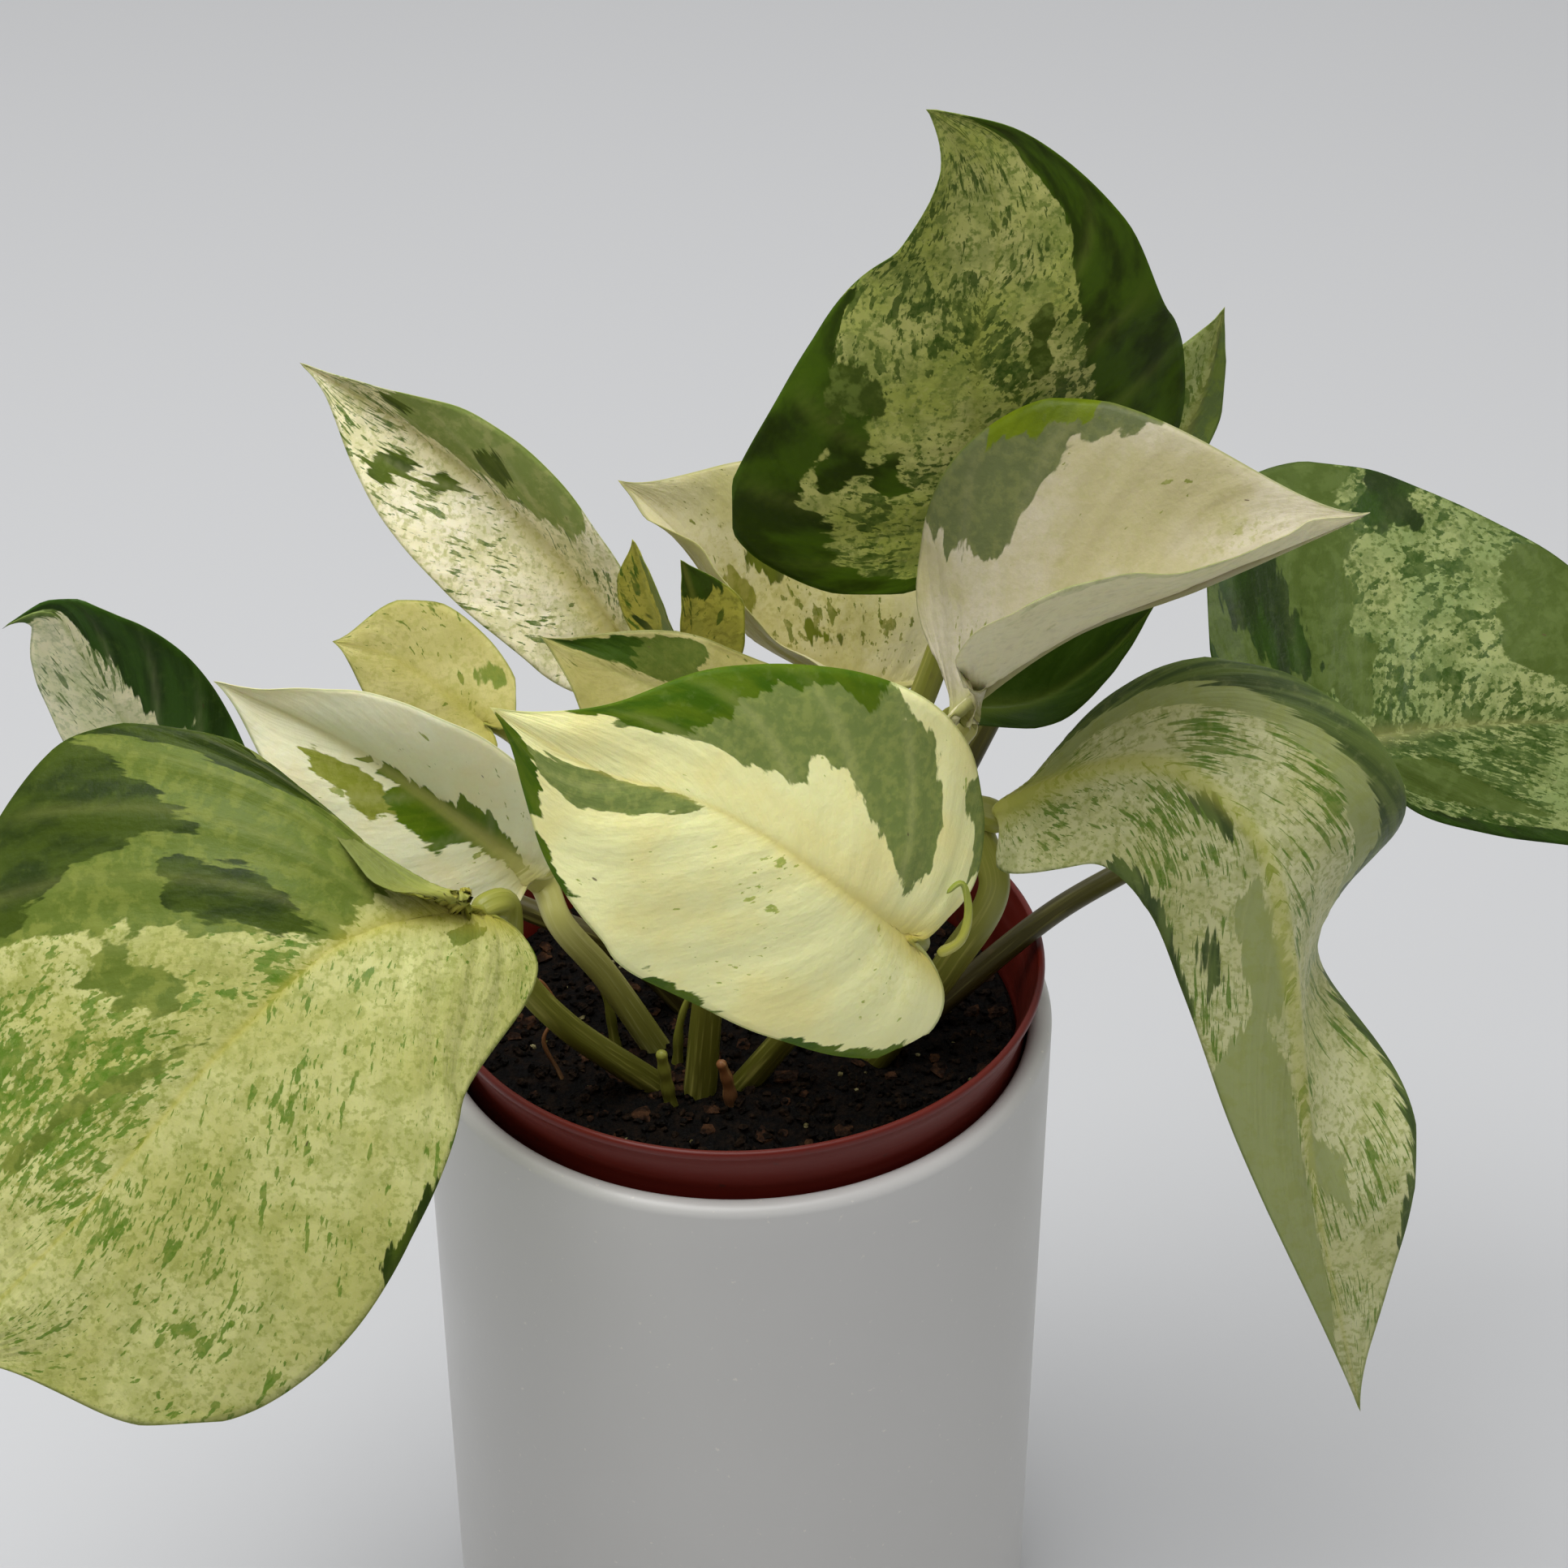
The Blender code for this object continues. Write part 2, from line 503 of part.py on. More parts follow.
def build():
    clear_scene()
    make_cover_pot()
    tilt_with_pot(make_nursery_pot())
    soil = make_soil()
    tilt_with_pot(soil)
    for name, leaf in LEAVES.items():
        blade(name, leaf)
    for name, (points, root, tip) in STALKS.items():
        path = stalk_path(name, points, tip)
        radii = np.linspace(root, tip, len(path)) * MM * PLANT_SCALE
        tube("stalk_" + name, path, radii, "stalk_green")
        cut(soil, tube("hole_" + name, path[:3], radii[:3] + GAP * 1.3, None))
    for name, (points, root, tip) in SHOOTS.items():
        above = [np.array(p, float) * MM * PLANT_SCALE + ROOT_LIFT for p in points]
        start = above[0] - unit(above[1] - above[0]) * SHOOT_DEPTH
        path, _ = smooth_curve([start] + above, 8)
        radii = np.linspace(root, tip, len(path)) * MM * PLANT_SCALE
        tube(name, path + PLANT_ORIGIN, radii, SHOOT_LOOK.get(name, "stalk_green"), 6)
        cut(soil, tube("hole_" + name, path[:4] + PLANT_ORIGIN, radii[:4] + GAP * 1.3, None, 6))
    points, root, tip = SHEATH
    path, _ = smooth_curve(np.array(points, float) * MM * PLANT_SCALE, 9)
    radii = np.linspace(root, tip, len(path)) * MM * PLANT_SCALE
    tube("sheath", path + PLANT_ORIGIN, radii, "dry_sheath", 6)


build()
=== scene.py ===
# %% [markdown]
# # A potted trailing plant
# A young trailing house plant stands in a thin plastic nursery pot, and that pot sits in the mouth
# of a plain white ceramic cover pot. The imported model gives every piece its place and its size.
# This lesson makes each piece again with a fine surface and gives it a finish made of nodes.

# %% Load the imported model
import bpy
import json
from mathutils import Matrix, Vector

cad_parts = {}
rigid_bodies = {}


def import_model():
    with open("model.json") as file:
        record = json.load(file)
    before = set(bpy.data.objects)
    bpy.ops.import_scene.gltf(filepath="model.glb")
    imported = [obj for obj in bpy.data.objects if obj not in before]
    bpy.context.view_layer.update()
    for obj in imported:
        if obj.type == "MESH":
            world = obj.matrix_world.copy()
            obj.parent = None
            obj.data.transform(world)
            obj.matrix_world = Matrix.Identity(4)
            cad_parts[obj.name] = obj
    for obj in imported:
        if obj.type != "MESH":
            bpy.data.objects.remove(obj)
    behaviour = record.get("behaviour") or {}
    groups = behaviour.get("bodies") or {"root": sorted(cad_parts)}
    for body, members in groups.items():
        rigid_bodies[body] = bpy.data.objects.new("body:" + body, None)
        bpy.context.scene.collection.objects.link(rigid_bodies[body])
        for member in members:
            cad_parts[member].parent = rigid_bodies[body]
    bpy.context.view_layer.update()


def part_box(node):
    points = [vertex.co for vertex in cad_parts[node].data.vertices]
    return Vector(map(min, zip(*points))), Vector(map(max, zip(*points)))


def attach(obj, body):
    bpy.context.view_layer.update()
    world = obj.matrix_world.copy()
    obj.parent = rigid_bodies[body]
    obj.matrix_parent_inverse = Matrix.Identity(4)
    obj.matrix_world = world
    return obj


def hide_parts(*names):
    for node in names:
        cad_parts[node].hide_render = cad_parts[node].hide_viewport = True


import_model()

import json
import math

import bpy
import numpy as np

# %% [markdown]
# ## Small helpers
# An operator works on whatever is selected, so each piece starts from an empty selection. Colours
# are written the way a paint chart gives them, as sRGB hex, and Blender's shaders want linear
# numbers, so one function turns the one into the other. One function adds any shader node, one
# lays a colour over another as a painter does, and one gives a shader its colour, gloss and relief.

# %% Selection and colour
MM = 0.001


def deselect():
    if bpy.context.object and bpy.context.object.mode != "OBJECT":
        bpy.ops.object.mode_set(mode="OBJECT")
    bpy.ops.object.select_all(action="DESELECT")


def only(obj):
    """Select this object alone and make it the active one."""
    deselect()
    obj.select_set(True)
    bpy.context.view_layer.objects.active = obj


def linear(code):
    """An sRGB hex colour such as 'c3c98a' as linear red, green, blue and alpha."""
    parts = [int(code[i:i + 2], 16) / 255 for i in (0, 2, 4)]
    return [p / 12.92 if p <= 0.04045 else ((p + 0.055) / 1.055) ** 2.4 for p in parts] + [1.0]


def unit(vectors):
    lengths = np.linalg.norm(vectors, axis=-1, keepdims=True)
    return vectors / np.maximum(lengths, 1e-12)


print("cream in linear light:", [round(v, 3) for v in linear("e9e6b4")])


# %% One helper adds every node
def add(tree, kind, settings=None, inputs=None, out=0):
    """Add a shader node. An input that is a socket is linked, anything else is set."""
    node = tree.nodes.new("ShaderNode" + kind)
    for key, value in (settings or {}).items():
        setattr(node, key, value)
    for key, value in (inputs or {}).items():
        if isinstance(value, bpy.types.NodeSocket):
            tree.links.new(value, node.inputs[key])
        else:
            node.inputs[key].default_value = value
    return node.outputs[out]


def new_finish(name, roughness, ior=1.45):
    """An empty material with a Principled shader, and the tree and shader to build on."""
    finish = bpy.data.materials.new(name)
    finish.use_nodes = True
    tree = finish.node_tree
    shader = tree.nodes["Principled BSDF"]
    shader.inputs["Roughness"].default_value = roughness
    shader.inputs["IOR"].default_value = ior
    return finish, tree, shader


BLEND = {"data_type": "RGBA", "clamp_factor": True}
SOFT = {"interpolation_type": "SMOOTHSTEP"}


def layer(tree, under, over, pattern, low, high, least=0.0, most=1.0):
    """Lay one colour over another where a pattern rises from low to high, with a soft edge."""
    share = add(tree, "MapRange", SOFT, {0: pattern, 1: low, 2: high, 3: least, 4: most})
    return add(tree, "Mix", BLEND, {0: share, 6: under, 7: over}, 2)


def dress(tree, shader, colour, gloss, smooth, rough, height, strength, depth):
    """Give a shader its colour, a gloss that follows one pattern and a relief from another."""
    tree.links.new(colour, shader.inputs["Base Color"])
    dull = add(tree, "MapRange", SOFT, {0: gloss, 1: 0.3, 2: 0.7, 3: smooth, 4: rough})
    tree.links.new(dull, shader.inputs["Roughness"])
    relief = add(tree, "Bump", None, {"Strength": strength, "Distance": depth, "Height": height})
    tree.links.new(relief, shader.inputs["Normal"])


# %% Helpers that read and write a mesh
def paint(obj, finish):
    obj.data.materials.clear()
    obj.data.materials.append(finish)


def read_points(mesh):
    co = np.empty(len(mesh.vertices) * 3)
    mesh.vertices.foreach_get("co", co)
    return co.reshape(-1, 3)


def write_points(mesh, co):
    mesh.vertices.foreach_set("co", co.ravel())
    mesh.update()


def write_values(mesh, name, values):
    mesh.attributes.new(name, "FLOAT", "POINT").data.foreach_set("value", values)


def write_plan(mesh, name, plan):
    """Name the UV map and fill it with a place in tenths of a metre for each vertex."""
    corners = np.empty(len(mesh.loops), int)
    mesh.loops.foreach_get("vertex_index", corners)
    mesh.uv_layers[0].name = name
    mesh.uv_layers[0].data.foreach_set("uv", plan[corners].ravel())


# %% [markdown]
# ## Sizes
# The nursery pot leans a little in the mouth of the cover pot, and the whole plant stands in it.
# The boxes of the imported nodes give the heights, so that the fine pieces land where the packed
# ones are.

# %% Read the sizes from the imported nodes
pot_low, pot_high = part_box("cover_pot")
POT_HEIGHT = pot_high[2] - pot_low[2]
POT_RADIUS = pot_high[0]
NURSERY_SHIFT = 0.9 * MM
RIM_RISE = 8.5 * MM
RIM_RADIUS = 45 * MM
SOIL_DROP = 11.5 * MM
LEAN = math.radians(1.2)
PLANT_ORIGIN = np.array([NURSERY_SHIFT, 0.0, POT_HEIGHT + RIM_RISE - SOIL_DROP])
print("cover pot in mm:", round(POT_HEIGHT * 1000, 1), "high,",
      round(POT_RADIUS * 2000, 1), "across")

# %% [markdown]
# ## The camera
# It looks down at the pot from in front, with a long lens, so that the pot's sides stay nearly
# upright. It is made first, because every piece is judged from here.

# %% Camera
bpy.ops.object.camera_add(location=(7.1 * MM, -388.2 * MM, 433 * MM),
                          rotation=(math.radians(90 - 34.4), 0, 0))
camera = bpy.context.object
camera.name = "camera"
camera.data.sensor_width = 36
camera.data.lens = 75.5
camera.data.clip_start = 0.01
bpy.context.scene.camera = camera

# %% [markdown]
# ## The cover pot
# A cast ceramic cylinder with a glazed, slightly soft edge. A turned shape is made like a pot on a
# wheel: half of its outline is drawn point by point, and Spin carries it once round the axis.


# %% Turn an outline about the upright axis
def turn(name, outline, steps):
    """A closed solid spun from points of radius and height that start and end on the axis."""
    deselect()
    bpy.ops.mesh.primitive_plane_add(size=0.001)
    obj = bpy.context.object
    obj.name = name
    bpy.ops.object.mode_set(mode="EDIT")
    bpy.ops.mesh.select_all(action="SELECT")
    bpy.ops.mesh.merge(type="CENTER")
    bpy.ops.transform.translate(value=(outline[0][0], 0, outline[0][1]))
    for (r0, z0), (r1, z1) in zip(outline, outline[1:]):
        bpy.ops.mesh.extrude_region_move(TRANSFORM_OT_translate={"value": (r1 - r0, 0, z1 - z0)})
    bpy.ops.mesh.select_all(action="SELECT")
    bpy.ops.mesh.spin(steps=steps, angle=math.tau, center=(0, 0, 0), axis=(0, 0, 1))
    bpy.ops.mesh.select_all(action="SELECT")
    bpy.ops.mesh.remove_doubles(threshold=1e-6)
    bpy.ops.mesh.normals_make_consistent(inside=False)
    bpy.ops.object.mode_set(mode="OBJECT")
    bpy.ops.object.shade_smooth_by_angle(angle=math.radians(35))
    return obj


def arc(cx, cz, radius, start, stop, steps):
    """Points on a circle in the outline's plane, between two angles in degrees."""
    angles = np.radians(np.linspace(start, stop, steps + 1))
    return [(cx + radius * math.cos(a), cz + radius * math.sin(a)) for a in angles]


def put_in_mouth(obj):
    """Move a piece made about its own rim to where the nursery pot leans in the cover pot."""
    co = read_points(obj.data) + (0, 0, RIM_RISE)
    c, s = math.cos(LEAN), math.sin(LEAN)
    x, z = co[:, 0].copy(), co[:, 2].copy()
    co[:, 0] = x * c - z * s + NURSERY_SHIFT
    co[:, 2] = x * s + z * c + POT_HEIGHT
    write_points(obj.data, co)


# %% Cover pot
WALL = 3.5 * MM
MOUTH = POT_RADIUS - WALL
FOOT = 3 * MM
LIP = 1.6 * MM
outline = [(0, 0), (20 * MM, 0), (38 * MM, 0)]
outline += arc(POT_RADIUS - FOOT, FOOT, FOOT, -90, 0, 8)
outline += [(POT_RADIUS, z * MM) for z in range(16, 121, 13)]
outline += arc(POT_RADIUS - LIP, POT_HEIGHT - LIP, LIP, 0, 90, 8)
outline += arc(MOUTH + LIP, POT_HEIGHT - LIP, LIP, 90, 180, 8)
outline += [(MOUTH, 60 * MM), (MOUTH, 8 * MM), (MOUTH - 2 * MM, 6 * MM), (0, 6 * MM)]
cover_pot = turn("cover_pot_glazed", outline, 192)
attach(cover_pot, "root")
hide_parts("cover_pot")
print("cover pot faces:", len(cover_pot.data.polygons))

# %% [markdown]
# The finish is a white satin glaze over a cast body. Fired glaze is never quite even: it pools a
# little, so its gloss changes slowly over some centimetres, and its skin has a faint orange peel.

# %% Satin white glaze
finish, tree, shader = new_finish("satin_white_glaze", 0.34, 1.5)
place = add(tree, "TexCoord", out=3)
pool = add(tree, "TexNoise", None, {"Vector": place, "Scale": 28.0, "Detail": 2.0})
speck = add(tree, "TexNoise", None, {"Vector": place, "Scale": 900.0, "Detail": 2.0})
peel = add(tree, "TexNoise", None, {"Vector": place, "Scale": 650.0, "Detail": 1.0})
tone = add(tree, "Mix", BLEND, {0: pool, 6: linear("c4c3c0"), 7: linear("cac9c7")}, 2)
tone = layer(tree, tone, linear("d9d6cf"), speck, 0.70, 0.78)
dress(tree, shader, tone, pool, 0.30, 0.42, peel, 0.05, 0.0004)
paint(cover_pot, finish)

# %% [markdown]
# ## The nursery pot
# Thin injection-moulded plastic. Only its collar stands above the cover pot: a band that narrows
# downwards and wedges in the mouth, with a rolled edge a millimetre thick.

# %% Nursery pot
COLLAR = MOUTH - 1.4 * MM
THICK = 1.1 * MM
BASE = 33 * MM
TALL = 98 * MM
STEP = -16 * MM
BODY = COLLAR - 1.2 * MM
outline = [(0, -TALL), (BASE - MM, -TALL), (BASE, -TALL + MM)]
outline += [(BODY - 0.02 * MM, STEP - 0.4 * MM), (BODY, STEP), (COLLAR - 0.2 * MM, STEP + 0.2 * MM)]
outline += [(COLLAR, STEP + 0.5 * MM), (COLLAR, -RIM_RISE - 1 * MM), (COLLAR, -RIM_RISE)]
outline += [(COLLAR + (RIM_RADIUS - COLLAR) * s, -RIM_RISE * (1 - s)) for s in (0.3, 0.6, 0.8)]
outline += [(RIM_RADIUS - 0.08 * MM, -1.2 * MM), (RIM_RADIUS, -0.9 * MM)]
outline += arc(RIM_RADIUS - THICK / 2, -THICK / 2, THICK / 2, 10, 180, 8)
outline += [(COLLAR - THICK + (RIM_RADIUS - COLLAR) * s, -RIM_RISE * (1 - s))
            for s in (0.8, 0.4, 0)]
outline += [(COLLAR - THICK, STEP + MM), (BODY - THICK, STEP - MM),
            (BASE - THICK, -TALL + 1.4 * MM), (0, -TALL + 1.4 * MM)]
nursery = turn("nursery_pot_moulded", outline, 160)
put_in_mouth(nursery)
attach(nursery, "root")
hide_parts("nursery_pot")
print("nursery pot faces:", len(nursery.data.polygons))

# %% Moulded brick-brown polypropylene
finish, tree, shader = new_finish("moulded_polypropylene", 0.42, 1.49)
shader.inputs["Specular IOR Level"].default_value = 0.3
place = add(tree, "TexCoord", out=3)
cloud = add(tree, "TexNoise", None, {"Vector": place, "Scale": 60.0, "Detail": 3.0})
scuff_run = add(tree, "Mapping", None, {"Vector": place, "Scale": (60.0, 60.0, 900.0)})
scuff = add(tree, "TexNoise", None, {"Vector": scuff_run, "Scale": 1.0, "Detail": 3.0})
grit = add(tree, "TexNoise", None, {"Vector": place, "Scale": 420.0, "Detail": 3.0})
tone = add(tree, "Mix", BLEND, {0: cloud, 6: linear("5a180f"), 7: linear("6c1e13")}, 2)
tone = layer(tree, tone, linear("762c1e"), scuff, 0.62, 0.80, 0.0, 0.25)
tone = layer(tree, tone, linear("33201a"), grit, 0.66, 0.74, 0.0, 0.6)
dress(tree, shader, tone, scuff, 0.36, 0.52, scuff, 0.12, 0.0002)
paint(nursery, finish)

# %% [markdown]
# ## The soil
# Moist peat mix: a dark, lumpy bed with crumbs, bark chips and pale grains lying on it. The bed and
# its crumbs are coloured nearly black, darker than peat itself, as painted shade under the leaves.
# The bed is turned like the pots, and its top is pushed up and down by layered waves. The crumbs
# are one small lump, copied and scattered, because a copy costs little and every one lands
# differently.

# %% Soil bed
SOIL_RADIUS = COLLAR - THICK - 0.3 * MM
BOTTOM = -TALL + 1.7 * MM
outline = [(0, BOTTOM), (BASE - THICK - 0.3 * MM, BOTTOM), (BODY - THICK - 0.3 * MM, STEP - MM),
           (SOIL_RADIUS, STEP + MM), (SOIL_RADIUS, -SOIL_DROP - 2.2 * MM)]
outline += [(SOIL_RADIUS * (1 - k / 64), -SOIL_DROP - 1.4 * MM) for k in range(1, 64)]
outline += [(0, -SOIL_DROP - 1.4 * MM)]
soil = turn("soil_bed", outline, 200)


def lumps(x, y):
    """Height of the soil's lumps in metres at a place, from waves in fixed directions."""
    height = np.zeros_like(x)
    for k in range(1, 19):
        angle = 2.4 * k
        wave = 260 + 95 * k
        height += np.sin((x * math.cos(angle) + y * math.sin(angle)) * wave + k * k) / (k + 2)
    return height * 0.9 * MM


co = read_points(soil.data)
top = co[:, 2] > -SOIL_DROP - 1.5 * MM
radius = np.hypot(co[:, 0], co[:, 1])
co[top, 2] += (1.2 * MM * (1 - (radius[top] / SOIL_RADIUS) ** 2)
               + lumps(co[top, 0], co[top, 1]) * np.clip((SOIL_RADIUS - radius[top]) / MM, 0, 1))
write_points(soil.data, co)
put_in_mouth(soil)
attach(soil, "root")
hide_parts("soil")
print("soil bed faces:", len(soil.data.polygons))

# %% Moist peat, painted nearly black as shade
def soil_finish(name, dark, light, roughness):
    """Crumbly organic matter: two tones in patches of about 1.5 mm, with a rough skin."""
    finish, tree, shader = new_finish(name, roughness, 1.4)
    shader.inputs["Specular IOR Level"].default_value = 0.15
    place = add(tree, "TexCoord", out=3)
    patch = add(tree, "TexNoise", None, {"Vector": place, "Scale": 650.0, "Detail": 5.0})
    grain = add(tree, "TexVoronoi", None, {"Vector": place, "Scale": 1400.0})
    tone = layer(tree, linear(dark), linear(light), patch, 0.42, 0.68)
    dress(tree, shader, tone, patch, roughness - 0.25, roughness, grain, 0.9, 0.0006)
    return finish


# the bed's two tones are near black: dark peat with painted shade under the leaves laid into its
# colour
paint(soil, soil_finish("moist_peat_painted_shade", "080605", "1c140e", 0.95))

# %% Crumbs, bark chips and grains
def scatter(name, count, sizes, flatness, finish, seed, edge_share):
    """Copies of one lump over the soil's top, each turned and sized on its own, as one piece."""
    rng = np.random.default_rng(seed)
    deselect()
    bpy.ops.mesh.primitive_ico_sphere_add(subdivisions=1, radius=1.0)
    lump = bpy.context.object
    lump.name = name
    co = np.array([v.co[:] for v in lump.data.vertices])
    faces = np.array([f.vertices[:] for f in lump.data.polygons])
    points, triangles = [], []
    for k in range(count):
        angle = rng.uniform(0, math.tau)
        spread = math.sqrt(rng.uniform(edge_share ** 2, 1.0)) * (SOIL_RADIUS - 1.2 * MM)
        x, y = spread * math.cos(angle), spread * math.sin(angle)
        size = rng.uniform(*sizes) * MM
        shape = co * rng.uniform(0.65, 1.25, (len(co), 1)) * (size, size * rng.uniform(0.5, 1), 0)
        shape[:, 2] = co[:, 2] * size * flatness * rng.uniform(0.6, 1.2)
        turn_z, tip = rng.uniform(0, math.tau), rng.uniform(-0.5, 0.5)
        shape[:, [0, 2]] = shape[:, [0, 2]] @ np.array([[math.cos(tip), math.sin(tip)],
                                                       [-math.sin(tip), math.cos(tip)]])
        shape[:, :2] = shape[:, :2] @ np.array([[math.cos(turn_z), math.sin(turn_z)],
                                               [-math.sin(turn_z), math.cos(turn_z)]])
        bed = -SOIL_DROP - 1.4 * MM + 1.2 * MM * (1 - (spread / SOIL_RADIUS) ** 2)
        bed += float(lumps(np.array([x]), np.array([y]))[0])
        points.append(shape + (x, y, bed + size * flatness * 0.35))
        triangles.append(faces + k * len(co))
    mesh = bpy.data.meshes.new(name)
    mesh.from_pydata(np.concatenate(points).tolist(), [], np.concatenate(triangles).tolist())
    lump.data = mesh
    put_in_mouth(lump)
    mesh.materials.append(finish)
    only(lump)
    bpy.ops.object.shade_flat()
    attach(lump, "root")
    print(name, "has", len(mesh.polygons), "faces")
    return lump


# the crumbs are near black too, painted shade as on the bed; bark chips and grains keep their own
# tones
scatter("soil_crumbs", 1500, (0.35, 1.1), 0.8, soil_finish("peat_crumb_painted_shade", "0a0705", "281c12", 0.95),
        3, 0.0)
scatter("bark_chips", 160, (0.8, 2.2), 0.28, soil_finish("bark_chip", "22140b", "4c3220", 0.9),
        7, 0.0)
scatter("pale_grains", 70, (0.3, 0.7), 0.9, soil_finish("pale_grain", "6c6440", "a49c74", 0.85),
        11, 0.35)

# %% [markdown]
# ## The leaves: their shape
# A blade is a thin heart-shaped sheet that grows out to both sides of its midrib. It could be cut
# from a flat plane and bent, but each half of a real blade folds and curls on its own, so here a
# grid is laid along the midrib instead. Each row of the grid runs from the midrib to the margin,
# the way the side veins run, so the veins, the ruffles and the markings can all follow the rows.

# %% The curve of a midrib, and the outline of half a blade
def smooth_curve(points, steps):
    """Evenly spaced points on a smooth curve through the given ones, and its length."""
    points = np.asarray(points, float)
    knots = np.r_[0, np.cumsum(np.sqrt(np.linalg.norm(np.diff(points, axis=0), axis=1)))]
    spans = np.diff(knots)
    slopes = np.diff(points, axis=0) / spans[:, None]
    tangents = np.empty_like(points)
    if len(points) == 2:
        tangents[:] = slopes[0]
    else:
        before, after = spans[:-1, None], spans[1:, None]
        tangents[1:-1] = (slopes[:-1] * after + slopes[1:] * before) / (before + after)
        tangents[0] = 1.5 * slopes[0] - 0.5 * tangents[1]
        tangents[-1] = 1.5 * slopes[-1] - 0.5 * tangents[-2]
    at = np.linspace(0, knots[-1], 600)
    k = np.clip(np.searchsorted(knots, at, side="right") - 1, 0, len(points) - 2)
    span = spans[k][:, None]
    u = (at - knots[k])[:, None] / span
    curve = ((2 * u**3 - 3 * u**2 + 1) * points[k] + (u**3 - 2 * u**2 + u) * span * tangents[k]
             + (3 * u**2 - 2 * u**3) * points[k + 1] + (u**3 - u**2) * span * tangents[k + 1])
    run = np.r_[0, np.cumsum(np.linalg.norm(np.diff(curve, axis=0), axis=1))]
    even = np.linspace(0, run[-1], steps + 1)
    return np.stack([np.interp(even, run, curve[:, i]) for i in range(3)], 1), run[-1]


def bezier(corners, t):
    a, b, c, d = [np.array(p, float) for p in corners]
    t = t[:, None]
    return (1 - t)**3 * a + 3 * (1 - t)**2 * t * b + 3 * (1 - t) * t**2 * c + t**3 * d


SHOULDER = (0.36, 0.76)


def half_outline(widest, lobe, full, shoulder, steps):
    """The margin of half a blade, base to tip, for a length and a half-width of 1."""
    t = np.linspace(0, 1, 60)
    low, high = shoulder
    back = bezier([(0, 0), (-0.5 * lobe, 0.02), (-lobe, 0.28 * low), (-lobe, low)], t)
    swell = bezier([(-lobe, low), (-lobe, high), (widest - 0.38 * (widest + lobe), 1),
                    (widest, 1)], t)
    taper = bezier([(widest, 1), (widest + full * (1 - widest), 1), (0.84, 0.12), (1, 0)], t)
    edge = np.vstack([back, swell[1:], taper[1:]])
    run = np.r_[0, np.cumsum(np.hypot(*np.diff(edge * [1, 0.42], axis=0).T))]
    even = np.linspace(0, run[-1], steps + 1)
    return np.interp(even, run, edge[:, 0]), np.interp(even, run, edge[:, 1])


def blend(values, u):
    """A smoothly varying value along 0 to 1 from a few evenly spaced ones."""
    values = np.atleast_2d(np.asarray(values, float).T).T
    if len(values) == 1:
        return np.repeat(values, len(u), axis=0)
    place = np.clip(u, 0, 1) * (len(values) - 1)
    k = np.clip(place.astype(int), 0, len(values) - 2)
    f = (place - k)[:, None]
    f = f * f * (3 - 2 * f)
    return values[k] * (1 - f) + values[k + 1] * f


# %% [markdown]
# The sixteen blades, each by its midrib points in mm from the middle of the soil's top, the way
# its upper face looks, and for each half its width, the place where it is widest, its lobe and how
# full it stays towards the tip. Fold lifts a half from flat and curl bends it further.

